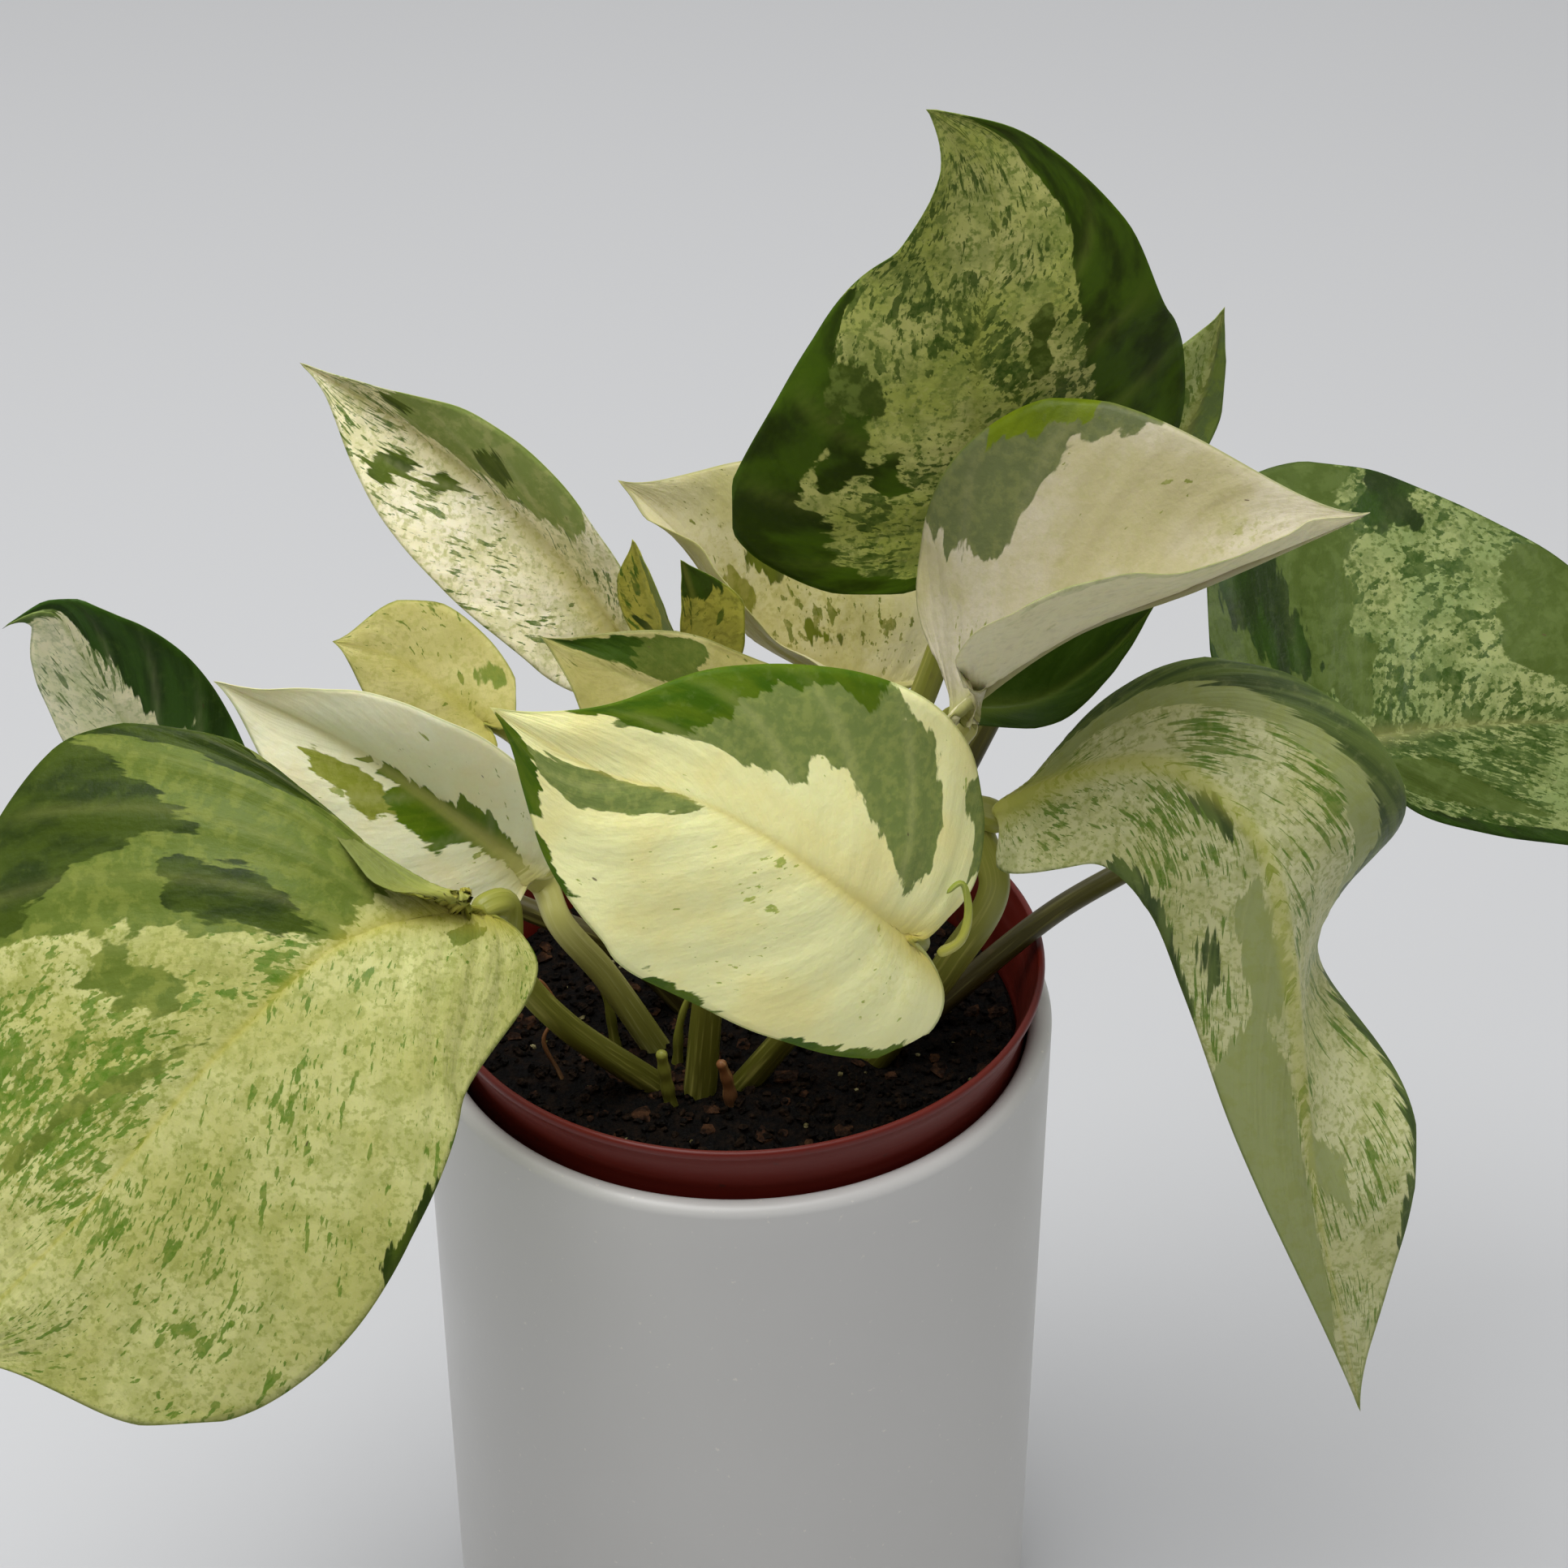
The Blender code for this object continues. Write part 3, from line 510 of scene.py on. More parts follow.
# %% The blades
LEAVES = {
    "front_left": dict(
        spine=[(-34, -36, 47), (-50, -46, 50), (-65, -56, 41), (-85, -68, 21), (-106, -76, 1)],
        face=[(-0.1, -0.75, 0.65), (-0.2, -0.8, 0.5)],
        left=(37, 0.55, 5, 0.85, 0.20, 0.40), right=(47, 0.33, -14, 0.55, 0.14, 0.72),
        fold=[(0,), (0,)],
        curl=(-20, -15)),
    "front_centre": dict(
        spine=[(24, -36, 41), (16, -40, 51), (3, -43, 64), (-6, -45, 71), (-17, -48, 77),
               (-30, -50, 88)],
        face=[(0, -0.8, 0.6), (0, -0.8, 0.6)],
        left=(24, 0.46, 14, 0.5), right=(27, 0.22, 5, 0.42), fold=[(0,), (0,)],
        curl=(-20, -10)),
    "front_right": dict(
        spine=[(37, -12, 45), (58, -18, 57), (70, -24, 50), (75, -28, 31), (80, -31, 3),
               (93, -33, -50)],
        face=[(-0.1, -0.6, 0.8), (-0.1, -0.8, 0.5), (0.1, -0.9, 0.2), (0, -0.95, 0.1)],
        left=(23, 0.44, -6, 0.62), right=(18, 0.3, -2, 0.02),
        fold=[(10, 0, -65, 0, 0), (-10, 0, 0, 0)], curl=(-10, -20)),
    "right_cream": dict(
        spine=[(30, -14, 62), (45, -18, 78), (61, -19, 86), (82, -18, 97)],
        face=[(-0.1, -0.5, 0.9), (-0.1, -0.5, 0.9)],
        left=(31, 0.45, -2, 0.5), right=(25, 0.4, -10, 0.5), fold=[(20,), (72,)],
        curl=(10, 8)),
    "top": dict(
        spine=[(33, 4, 83), (32, 2, 112), (34, 2, 126), (31, 2, 138), (24, 0, 145)],
        face=[(0, -0.9, 0.4), (0, -0.9, 0.3)],
        left=(35, 0.08, 10, 0.1), right=(29, 0.25, 8, 0.4), fold=[(0,), (0,)],
        curl=(-10, -10)),
    "back_left": dict(
        spine=[(-19, 34, 45), (-33, 38, 63), (-52, 42, 79), (-65, 44, 87)],
        face=[(-0.3, -0.8, 0.6)],
        left=(16, 0.4, 4, 0.6), right=(13, 0.4, 4, 0.55), fold=[(32,), (45,)],
        curl=(0, -10)),
    "far_left": dict(
        spine=[(-79, 10, 23), (-88, 6, 47), (-93, 4, 62), (-96, 3, 69), (-103, 2, 67)],
        face=[(-0.3, -0.6, 0.7)],
        left=(13, 0.5, 4, 0.55), right=(14, 0.4, 4, 0.55), fold=[(-20,), (0,)],
        curl=(-20, -20), stiff=0.8),
    "left_cream": dict(
        spine=[(-29, -12, 34), (-43, -15, 50), (-56, -17, 62), (-70, -19, 72)],
        face=[(0, -0.8, 0.6)],
        left=(18, 0.35, 0, 0.5), right=(15, 0.35, 2, 0.5), fold=[(10,), (45,)],
        curl=(-10, -10)),
    "round_back": dict(
        spine=[(-38, 16, 42), (-44, 20, 45), (-53, 24, 49), (-61, 26, 50)],
        face=[(-0.3, -0.8, 0.5)],
        left=(9, 0.45, 4, 0.6), right=(11, 0.45, 4, 0.7), fold=[(0,), (0,)],
        curl=(-10, -10)),
    "young_left": dict(
        spine=[(-11, 10, 59), (-13, 10, 67), (-15, 10, 77)],
        face=[(-0.6, -0.6, 0.3)],
        left=(5, 0.4, 2, 0.5), right=(6, 0.4, 2, 0.5), fold=[(20,), (20,)],
        curl=(0, 0)),
    "young_right": dict(
        spine=[(-6, 2, 59), (-6, 2, 70), (-8, 1, 79)],
        face=[(0.2, -0.9, 0.3)],
        left=(3, 0.3, 2, 0.5), right=(7, 0.5, 2, 0.5), fold=[(20,), (20,)],
        curl=(0, 0)),
    "back_cream": dict(
        spine=[(23, 14, 49), (11, 14, 54), (1, 14, 60), (-8, 14, 74), (-17, 14, 84)],
        face=[(-0.1, -0.4, 0.9)],
        left=(12, 0.4, 0, 0.5), right=(28, 0.35, 4, 0.5), fold=[(60,), (20,)],
        curl=(0, 0), stiff=0.8),
    "wedge": dict(
        spine=[(6, -8, 57), (-10, -8, 63), (-27, -8, 72)],
        face=[(0, -0.7, 0.7)],
        left=(16, 0.35, 4, 0.5), right=(9, 0.35, 4, 0.5), fold=[(10,), (10,)],
        curl=(0, 0)),
    "far_right": dict(
        spine=[(82, 8, 42), (94, 12, 43), (122, 17, 42), (156, 22, 35)],
        face=[(0.1, -0.6, 0.8)],
        left=(46, 0.12, 10, 0.3), right=(20, 0.68, -12, 0.5), fold=[(0,), (0,)],
        curl=(-10, -10)),
    "crescent": dict(
        spine=[(32, 4, 53), (42, 4, 54), (51, 4, 61), (58, 4, 70)],
        face=[(0, -0.5, 0.8)],
        left=(8, 0.35, 2, 0.5), right=(5, 0.4, 2, 0.5), fold=[(20,), (20,)],
        curl=(0, 0)),
    "back_right": dict(
        spine=[(60, 30, 74), (65, 30, 87), (68, 30, 103)],
        face=[(0, -0.9, 0.4)],
        left=(10, 0.35, 4, 0.5), right=(4, 0.35, 4, 0.5), fold=[(20,), (20,)],
        curl=(0, 0)),
}
print(len(LEAVES), "blades")

# %% [markdown]
# The surface is worked out half by half. Every point has a place along the rows, from 0 at the
# base to 1 at the tip, and a share of the way out, from -1 at the left margin through 0 at the
# midrib to 1 at the right one.

# %% The surface of a blade
def blade_surface(leaf, rows, shares):
    """Grid of points in mm, the way the base faces and points, and the half-width in mm."""
    samples = 60
    spine, length = smooth_curve(leaf["spine"], samples)
    along = unit(np.gradient(spine, axis=0))
    stiff = leaf.get("stiff", 0.55)
    axis = unit(along * (1 - stiff) + unit(spine[-1] - spine[0]) * stiff)
    face = blend(leaf["face"], np.linspace(0, 1, samples + 1))
    normal = unit(face - (face * axis).sum(1)[:, None] * axis)
    side = np.cross(axis, normal)
    rib_x = np.linspace(0, 1, rows + 1)**1.7
    grid = np.zeros((rows + 1, len(shares), 3))
    reach = np.zeros((rows + 1, len(shares)))
    for j, signed in enumerate(shares):
        half, share = int(signed > 0), abs(signed)
        width, widest, lobe, full, *shoulder = leaf["right" if half else "left"]
        edge_x, edge_y = half_outline(widest, lobe / length, full,
                                      shoulder or SHOULDER, rows)
        u = rib_x + (edge_x - rib_x) * share
        out = edge_y * share
        k = np.clip(u, 0, 1) * samples
        i = np.clip(k.astype(int), 0, samples - 1)
        f = (k - i)[:, None]
        centre = spine[i] * (1 - f) + spine[i + 1] * f
        ahead = unit(along[i] * (1 - f) + along[i + 1] * f)
        up = unit(normal[i] * (1 - f) + normal[i + 1] * f)
        across = unit(side[i] * (1 - f) + side[i + 1] * f)
        centre = centre - ahead * (np.maximum(-u, 0) * length)[:, None]
        tilt = np.radians(blend(leaf["fold"][half], u))[:, 0]
        bend = math.radians(leaf["curl"][half]) + 1e-4
        sideways = width * (np.sin(tilt + bend * out) - np.sin(tilt)) / bend
        lift = width * (np.cos(tilt) - np.cos(tilt + bend * out)) / bend
        sign = 1 if half else -1
        grid[:, j] = centre + across * (sign * sideways)[:, None] + up * lift[:, None]
        reach[:, j] = edge_y * width
    return grid, normal[0], axis[0], reach, length


# %% [markdown]
# A grid primitive already has neat rows and a UV map, so each blade starts as one. Its corners are
# read back row by row and set on the surface. At the base and at the tip a whole row falls on one
# point, and Merge by Distance closes it.

# %% A grid laid on given points
def laid_grid(name, points):
    """An object from a grid primitive whose vertices are set on rows x columns of points in mm."""
    rows, columns = points.shape[0] - 1, points.shape[1] - 1
    deselect()
    bpy.ops.mesh.primitive_grid_add(x_subdivisions=columns, y_subdivisions=rows, size=2)
    obj = bpy.context.object
    obj.name = name
    co = read_points(obj.data)
    j = np.rint((co[:, 0] + 1) / 2 * columns).astype(int)
    i = np.rint((co[:, 1] + 1) / 2 * rows).astype(int)
    write_points(obj.data, points[i, j] * MM)
    return obj, i, j


def merge_and_face_out(obj, distance=1e-6):
    only(obj)
    bpy.ops.object.mode_set(mode="EDIT")
    bpy.ops.mesh.select_all(action="SELECT")
    bpy.ops.mesh.remove_doubles(threshold=distance)
    bpy.ops.mesh.normals_make_consistent(inside=False)
    bpy.ops.object.mode_set(mode="OBJECT")


# %% [markdown]
# ## The leaves: their markings
# A variegated blade is patchwork: cells that can make green sit beside cells that can't. Large
# patches are bounded by veins, and small flecks are drawn out along them. The large patches are
# laid down here as many-sided areas on the blade's own two coordinates, softened over a few
# millimetres. The finish then frays that soft edge with noise that is stretched along the veins.

# %% Soft-edged areas on a blade
def inside_depth(area, x, y):
    """How deep each point lies inside a many-sided area, in mm, and below 0 outside it."""
    px, py = np.array(area, float).T
    nearest = np.full(x.shape, 1e9)
    within = np.zeros(x.shape, bool)
    for ax, ay, bx, by in zip(px, py, np.roll(px, -1), np.roll(py, -1)):
        ex, ey = bx - ax, by - ay
        s = np.clip(((x - ax) * ex + (y - ay) * ey) / max(ex * ex + ey * ey, 1e-9), 0, 1)
        nearest = np.minimum(nearest, np.hypot(x - ax - s * ex, y - ay - s * ey))
        crosses = (ay > y) != (by > y)
        at = ax + (y - ay) * ex / np.where(abs(ey) < 1e-9, 1e-9, ey)
        within ^= crosses & (x < at)
    return np.where(within, nearest, -nearest)


def painted(areas, q, t, length, width, soft=3.0):
    """Weight from 0 to 1 of a list of areas: a half on their edge, spread over 2 x soft mm."""
    weight = np.zeros(q.shape)
    for area in areas:
        scaled = [(a * length, b * width) for a, b in area]
        depth = inside_depth(scaled, q * length, t * width)
        weight = np.maximum(weight, np.clip(0.5 + depth / (2 * soft), 0, 1))
    return weight


# %% The markings of each blade
EVERYWHERE = [(-0.2, -1.4), (1.2, -1.4), (1.2, 1.4), (-0.2, 1.4)]
MARKS = {
    "front_left": dict(
        green=[[(-.1, 1.2), (0, .75), (.15, .6), (.3, .65), (.35, .85), (.45, 1.2)],
               [(.4, 1.2), (.4, .5), (.5, .7), (.6, .8), (.6, 1.2)],
               [(.4, .05), (.4, .3), (.45, .5), (.5, .4), (.45, .15)],
               [(.4, -.95), (.4, -1.1), (.5, -1.1), (.5, -.95)]],
        grey=[[(-.1, 1.2), (.6, 1.2), (.6, .8), (.5, .3), (.4, 0), (.2, .2), (.05, .6)],
              [(.6, .05), (.75, .45), (.8, .6), (.8, .5), (.65, .1)],
              [(.55, .2), (.55, .5), (.6, .5), (.6, .2)],
              [(.1, -.15), (.1, -.3), (.2, -.3), (.2, -.15)]],
        fleck=[(EVERYWHERE, .6), ([(.55, .05), (.55, .8), (.85, .8), (.8, .1)], .95),
               ([(0, -.5), (0, .5), (.15, .3), (.15, -.3)], .3)]),
    "front_centre": dict(
        green=[[(.95, 1.2), (.9, .95), (.75, .5), (.7, .6), (.65, .85), (.55, .9), (.5, .85),
                (.5, 1.2)],
               [(1, -.35), (.95, -.4), (.85, -.9), (.85, -1.2), (1, -1.2)],
               [(.2, -.9), (.2, -1.1), (.4, -1.1), (.4, -.95)],
               [(.5, -.95), (.5, -1.1), (.6, -1.1), (.6, -.95)],
               [(.75, -.95), (.75, -1.1), (.85, -1.1), (.85, -.95)]],
        grey=[[(.7, -.05), (.75, -.2), (.9, -.6), (.95, -.5), (.9, -.15), (.85, 0)],
              [(.25, .2), (.25, .4), (.3, .6), (.4, .9), (.5, .9), (.55, .7), (.5, .45),
               (.35, .25)],
              [(.55, .7), (.55, .35), (.65, .35), (.75, .5), (.85, .75), (.75, .8), (.6, .95)],
              [(.45, .5), (.45, .9), (.5, 1), (.65, .9), (.65, .5)],
              [(.15, .85), (.15, 1.1), (.3, 1.1), (.3, .85)]],
        fleck=[(EVERYWHERE, .05), ([(.1, -.6), (.1, -.1), (.3, -.1), (.3, -.6)], .25)]),
    "front_right": dict(
        green=[[(.05, -1.2), (.05, -.55), (.3, -.75), (.5, -.8), (.45, -1.2)],
               [(.55, -.95), (.55, -1.1), (.8, -1.1), (.8, -.95)],
               [(.35, .85), (.35, 1.2), (.55, 1.2), (.55, .95), (.45, .9)],
               [(.4, 0), (.4, .15), (.45, .2), (.45, .05)],
               [(.5, .6), (.5, .75), (.55, .8), (.55, .6)]],
        grey=[[(.05, -1.1), (.05, -.45), (.2, -.45), (.35, -.6), (.5, -.6), (.5, -1.1)],
              [(.6, .35), (.6, 1.2), (.95, 1.2), (.9, .3), (.8, .1), (.7, .1)],
              [(.5, .1), (.5, .4), (.6, .4), (.65, .1), (.6, 0)],
              [(.1, -.4), (.1, .25), (.15, .2), (.2, -.1), (.2, -.5)],
              [(.75, -.4), (.75, 0), (.8, 0), (.8, -.4)]],
        fleck=[(EVERYWHERE, .7), ([(0, -1), (0, 1), (.1, 1), (.1, -1)], .2)]),
    "right_cream": dict(
        green=[[(.43, -.93), (.43, -1.2), (.64, -1.2), (.58, -.9), (.5, -.88)],
               [(.45, .93), (.45, 1.2), (.8, 1.2), (.78, .93)]],
        grey=[[(.36, -.60), (.30, -.75), (.28, -1.2), (.72, -1.2), (.66, -.88), (.56, -.80),
               (.50, -.62), (.44, -.50), (.40, -.48)]],
        fleck=[(EVERYWHERE, .16), ([(.78, -.5), (.78, -.25), (.86, -.25), (.86, -.5)], .7)]),
    "top": dict(
        green=[[(.0, -.86), (.24, -.80), (.30, -.66), (.40, -.70), (.46, -.60), (.52, -.72),
                (.62, -.86), (.68, -.95), (.66, -1.2), (0, -1.2)],
               [(.36, -.62), (.38, -.44), (.50, -.50), (.52, -.66)],
               [(.30, -.40), (.32, -.28), (.42, -.30), (.40, -.42)],
               [(.40, .62), (.36, .80), (.38, 1.2), (.97, 1.2), (.95, .72), (.87, .58),
                (.78, .62), (.70, .54), (.60, .56), (.50, .52)]],
        grey=[[(.44, -.86), (.50, -.40), (.56, -.50), (.60, -.80)],
              [(.50, .25), (.52, .36), (.66, .40), (.64, .28)]],
        fleck=[(EVERYWHERE, .92), ([(.44, .60), (.5, .9), (.46, 1.1), (.36, 1.1)], .8)]),
    "back_left": dict(
        green=[[(.66, -.12), (.66, -.46), (.70, -.50), (.71, -.12)],
               [(.73, -.30), (.72, -.84), (.78, -.88), (.78, -.30)],
               [(.60, .30), (.58, .55), (.62, .66), (.66, .55), (.66, .32)],
               [(.80, .45), (.78, .70), (.84, .80), (.86, .50)]],
        grey=[[(.5, .3), (.42, .6), (.44, 1.2), (.80, 1.2), (.84, .5), (.78, .2), (.6, .16)]],
        fleck=[(EVERYWHERE, .68)]),
    "far_left": dict(
        green=[[(.5, .35), (.5, 1.2), (1.1, 1.2), (1, .3), (.9, .3)],
               [(-.1, -1.2), (-.1, 1.2), (.5, 1.2), (.52, -1.2)]],
        grey=[[(.9, -1.1), (.9, .4), (1.1, .4), (1.1, -1.1)]],
        fleck=[(EVERYWHERE, .45)]),
    "left_cream": dict(
        green=[[(.15, -.05), (.15, .06), (.3, .18), (.42, .30), (.5, .22), (.52, .08),
                (.68, .05), (.72, -.04), (.64, -.06), (.62, -.24), (.52, -.30), (.45, -.30),
                (.4, -.1)],
               [(.5, -.94), (.5, -1.1), (.8, -1.1), (.8, -.94)]],
        grey=[[(.05, .5), (.05, .9), (.22, .9), (.22, .5)],
              [(.55, -.2), (.6, -.42), (.8, -.5), (.8, -.3), (.7, -.1)]],
        fleck=[(EVERYWHERE, .06)]),
    "round_back": dict(green=[], grey=[[(.3, .5), (.3, .8), (.4, .8), (.4, .5)]],
                       fleck=[(EVERYWHERE, .35)]),
    "young_left": dict(green=[[(.3, -.6), (.3, -.2), (.45, -.2), (.45, -.6)]],
                       grey=[[(.3, .3), (.3, 1.1), (.9, 1.1), (.9, .3)]],
                       fleck=[(EVERYWHERE, .6)]),
    "young_right": dict(green=[[(.75, -1.1), (.75, 1.1), (1.1, 1.1), (1.1, -1.1)]],
                        grey=[], fleck=[(EVERYWHERE, .6)]),
    "back_cream": dict(green=[[(.40, .12), (.40, .18), (.50, .18), (.50, .12)],
                              [(.58, .30), (.58, .42), (.70, .42), (.70, .30)]],
                       grey=[[(.62, .05), (.62, .20), (.74, .20), (.74, .05)]],
                       fleck=[(EVERYWHERE, .10), ([(.3, .05), (.3, .45), (.8, .45), (.8, .05)],
                                                  .5)]),
    "wedge": dict(green=[[(.72, .3), (.72, .9), (.97, .9), (.97, .2)]],
                  grey=[[(.52, .2), (.52, .9), (.9, .9), (.9, .2)]],
                  fleck=[(EVERYWHERE, .2)]),
    "far_right": dict(
        green=[[(.0, -1.2), (.0, 1.2), (.08, 1.2), (.12, .3), (.10, -.4), (.16, -.9), (.20, -1.2)],
               [(.1, .85), (.2, 1.2), (.95, 1.2), (.95, .9)],
               [(.24, -.30), (.20, -.6), (.24, -1.2), (.30, -1.2), (.32, -.7), (.29, -.3)],
               [(.44, -.72), (.48, -1.2), (.54, -1.2), (.52, -.8)]],
        grey=[[(.06, -.1), (.08, -1.2), (.46, -1.2), (.42, -.66), (.36, -.3), (.20, -.08)],
              [(.28, -.12), (.34, -.40), (.40, -.30), (.34, -.08)],
              [(.60, -.3), (.62, -.8), (.70, -1.2), (.8, -1.2), (.76, -.5), (.7, -.2)],
              [(.2, .3), (.3, .7), (.5, .75), (.4, .25)]],
        fleck=[(EVERYWHERE, 1.0)]),
    "crescent": dict(green=[EVERYWHERE], grey=[], fleck=[(EVERYWHERE, .5)]),
    "back_right": dict(green=[], grey=[[(.1, 0), (.1, 1.1), (.95, 1.1), (.95, 0)]],
                       fleck=[(EVERYWHERE, .85)]),
}
print("marked areas:", sum(len(m["green"]) + len(m["grey"]) for m in MARKS.values()))


# %% [markdown]
# Relief comes next, in the mesh and not only in the finish. The midrib is sunk into the upper face
# and stands out below. Side veins leave it in pairs, each in a faint trough, and the blade swells
# a little between them. The margin waves in and out, as a thin sheet that grew too wide must.

# %% Make one blade
SWEEP = 0.22  # how far a side vein leans to the tip, as a share of the blade's length
THICKEST = 2.2  # mm, the blade at its midrib's base
LEVELS = 40  # steps of thickness in the vertex group that Solidify reads


def make_blade(name, leaf, marks, seed):
    """A blade as a closed solid with its relief, its markings as attributes and a UV map."""
    rng = np.random.default_rng(seed)
    _, _, _, reach, length = blade_surface(leaf, 20, [-1.0, 1.0])
    width = float(reach.max())
    rows = int(np.clip(length * 1.25, 36, 150))
    side = int(np.clip(width * 1.0, 12, 38))
    out = (np.arange(side + 1) / side)**1.3
    shares = np.r_[-out[::-1], out[1:]]
    grid, base_up, _, reach, length = blade_surface(leaf, rows, shares)
    q = np.repeat(np.linspace(0, 1, rows + 1)[:, None], len(shares), 1)
    t = np.repeat(shares[None, :], rows + 1, 0)
    across_mm = abs(t) * reach
    margin_mm = (1 - abs(t)) * reach

    d_row = np.gradient(grid, axis=0)
    d_row[0], d_row[-1] = d_row[1], d_row[-2]
    d_col = np.gradient(grid, axis=1)
    normal = unit(np.cross(d_col, d_row))
    normal[0], normal[-1] = base_up, normal[-2]
    if (normal[1] @ base_up).mean() < 0:
        normal[1:] = -normal[1:]

    pairs = int(np.clip(length / 9, 4, 11))
    phase = (q - SWEEP * abs(t)**1.2) * pairs + 0.35 * (t > 0) + 4
    gap = (phase % 1.0) - 0.5
    pitch = length / pairs
    vein = np.exp(-(gap * pitch / 0.75)**2) * np.clip(across_mm / 1.5, 0, 1)
    vein *= np.clip(margin_mm / 5, 0, 1) * np.clip(length / 60, 0.3, 1)
    swell = np.cos(gap * math.tau * 0.5)**2 - 0.5
    fade = np.clip(margin_mm / 6, 0, 1) * np.clip(across_mm / 5, 0, 1)
    ends = np.clip(np.minimum(q / 0.08, (1 - q) / 0.10), 0, 1)
    rib = np.exp(-(across_mm / (1.3 + 0.8 * (1 - q)))**2)
    rib_size = (1 - q)**0.8 * np.clip(length / 90, 0.35, 1)

    thickness = 0.30 + 1.5 * rib * rib_size + 0.22 * vein
    thickness *= np.clip(0.45 + margin_mm / 2.5, 0.45, 1)
    height = -thickness / 2 - 0.16 * vein - 0.45 * rib_size * np.exp(-(across_mm / 0.8)**2)
    height = height + (0.20 + 0.30 * (1 - q)) * swell * fade * np.clip(length / 80, 0.2, 1)
    height = height - 1.5 * rib_size * np.exp(-(across_mm / (4 + 5 * (1 - q)))**2)
    waves = np.zeros_like(height)
    for k, (turns, size) in enumerate(((1.6, 1.0), (2.9, 0.6), (5.2, 0.28), (9.3, 0.12))):
        waves += size * np.sin(math.tau * (turns * q + rng.uniform()) + (k + 1) * (t > 0) * 1.7)
    size = np.clip(width / 30, 0.2, 1.1)
    height = height + 0.9 * size * waves * abs(t)**2.5 * ends
    height = height + 0.35 * size * np.sin(math.tau * (1.3 * q + 0.9 * t + rng.uniform())) * ends
    grid = grid + normal * height[:, :, None] * ends[:, :, None]**0.25

    grid = grid + PLANT_ORIGIN / MM
    low, high = (np.array(c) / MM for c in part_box("leaf_" + name))
    grid = np.clip(grid, low + 0.3, high - 0.3)

    obj, i, j = laid_grid("blade_" + name, grid)
    mesh = obj.data
    values = {
        "green": painted(marks["green"], q, t, length, width),
        "grey": painted(marks["grey"], q, t, length, width),
        "fleck": np.zeros_like(q),
        "rib": np.clip(np.exp(-(across_mm / (0.35 + 4.5 * (1 - q)**3))**2)
                       * (0.35 + 0.6 * (1 - q)**2), 0, 1),
        "vein": vein,
        "margin": margin_mm / 10,
    }
    for area, amount in marks["fleck"]:
        share = painted([area], q, t, length, width)
        values["fleck"] = values["fleck"] * (1 - share) + amount * share
    for key, value in values.items():
        write_values(mesh, key, value[i, j])
    plan = np.stack([(q - SWEEP * abs(t)) * length, t * width], -1)[i, j] / 100
    write_plan(mesh, "veins", plan)

    group = obj.vertex_groups.new(name="thickness")
    share = np.clip(thickness[i, j] / THICKEST, 0.02, 1)
    for level in range(1, LEVELS + 1):
        chosen = np.nonzero(np.rint(share * LEVELS).astype(int) == level)[0]
        if len(chosen):
            group.add(chosen.tolist(), level / LEVELS, "REPLACE")
    merge_and_face_out(obj)
    flat = np.empty(len(mesh.polygons) * 3)
    mesh.polygons.foreach_get("normal", flat)
    if (flat.reshape(-1, 3) @ base_up).mean() < 0:
        mesh.flip_normals()
    count = len(mesh.vertices)

    solid = obj.modifiers.new("thickness", "SOLIDIFY")
    solid.thickness = THICKEST * MM
    solid.offset = 0.0
    solid.vertex_group = "thickness"
    solid.use_even_offset = False
    only(obj)
    bpy.ops.object.modifier_apply(modifier="thickness")
    under = np.zeros(len(obj.data.vertices))
    under[count:] = 1.0
    write_values(obj.data, "under", under)
    bpy.ops.object.shade_smooth()
    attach(obj, "root")
    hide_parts("leaf_" + name)
    return obj


blades = {}
for seed, (name, leaf) in enumerate(LEAVES.items()):
    blades[name] = make_blade(name, leaf, MARKS[name], seed + 1)
    print(name, len(blades[name].data.polygons), "faces")

# %% [markdown]
# ## The leaves: their finish
# A living leaf is a wet, translucent sheet under a thin waxy skin. The wax gives a broad satin
# gloss, and a little of the light goes in and comes out again, which softens the pale parts. The
# colour is built up from the bottom: cream, then flecks, grey-green patches, green patches, and
# last the midrib, the veins and a thin green line along the margin.

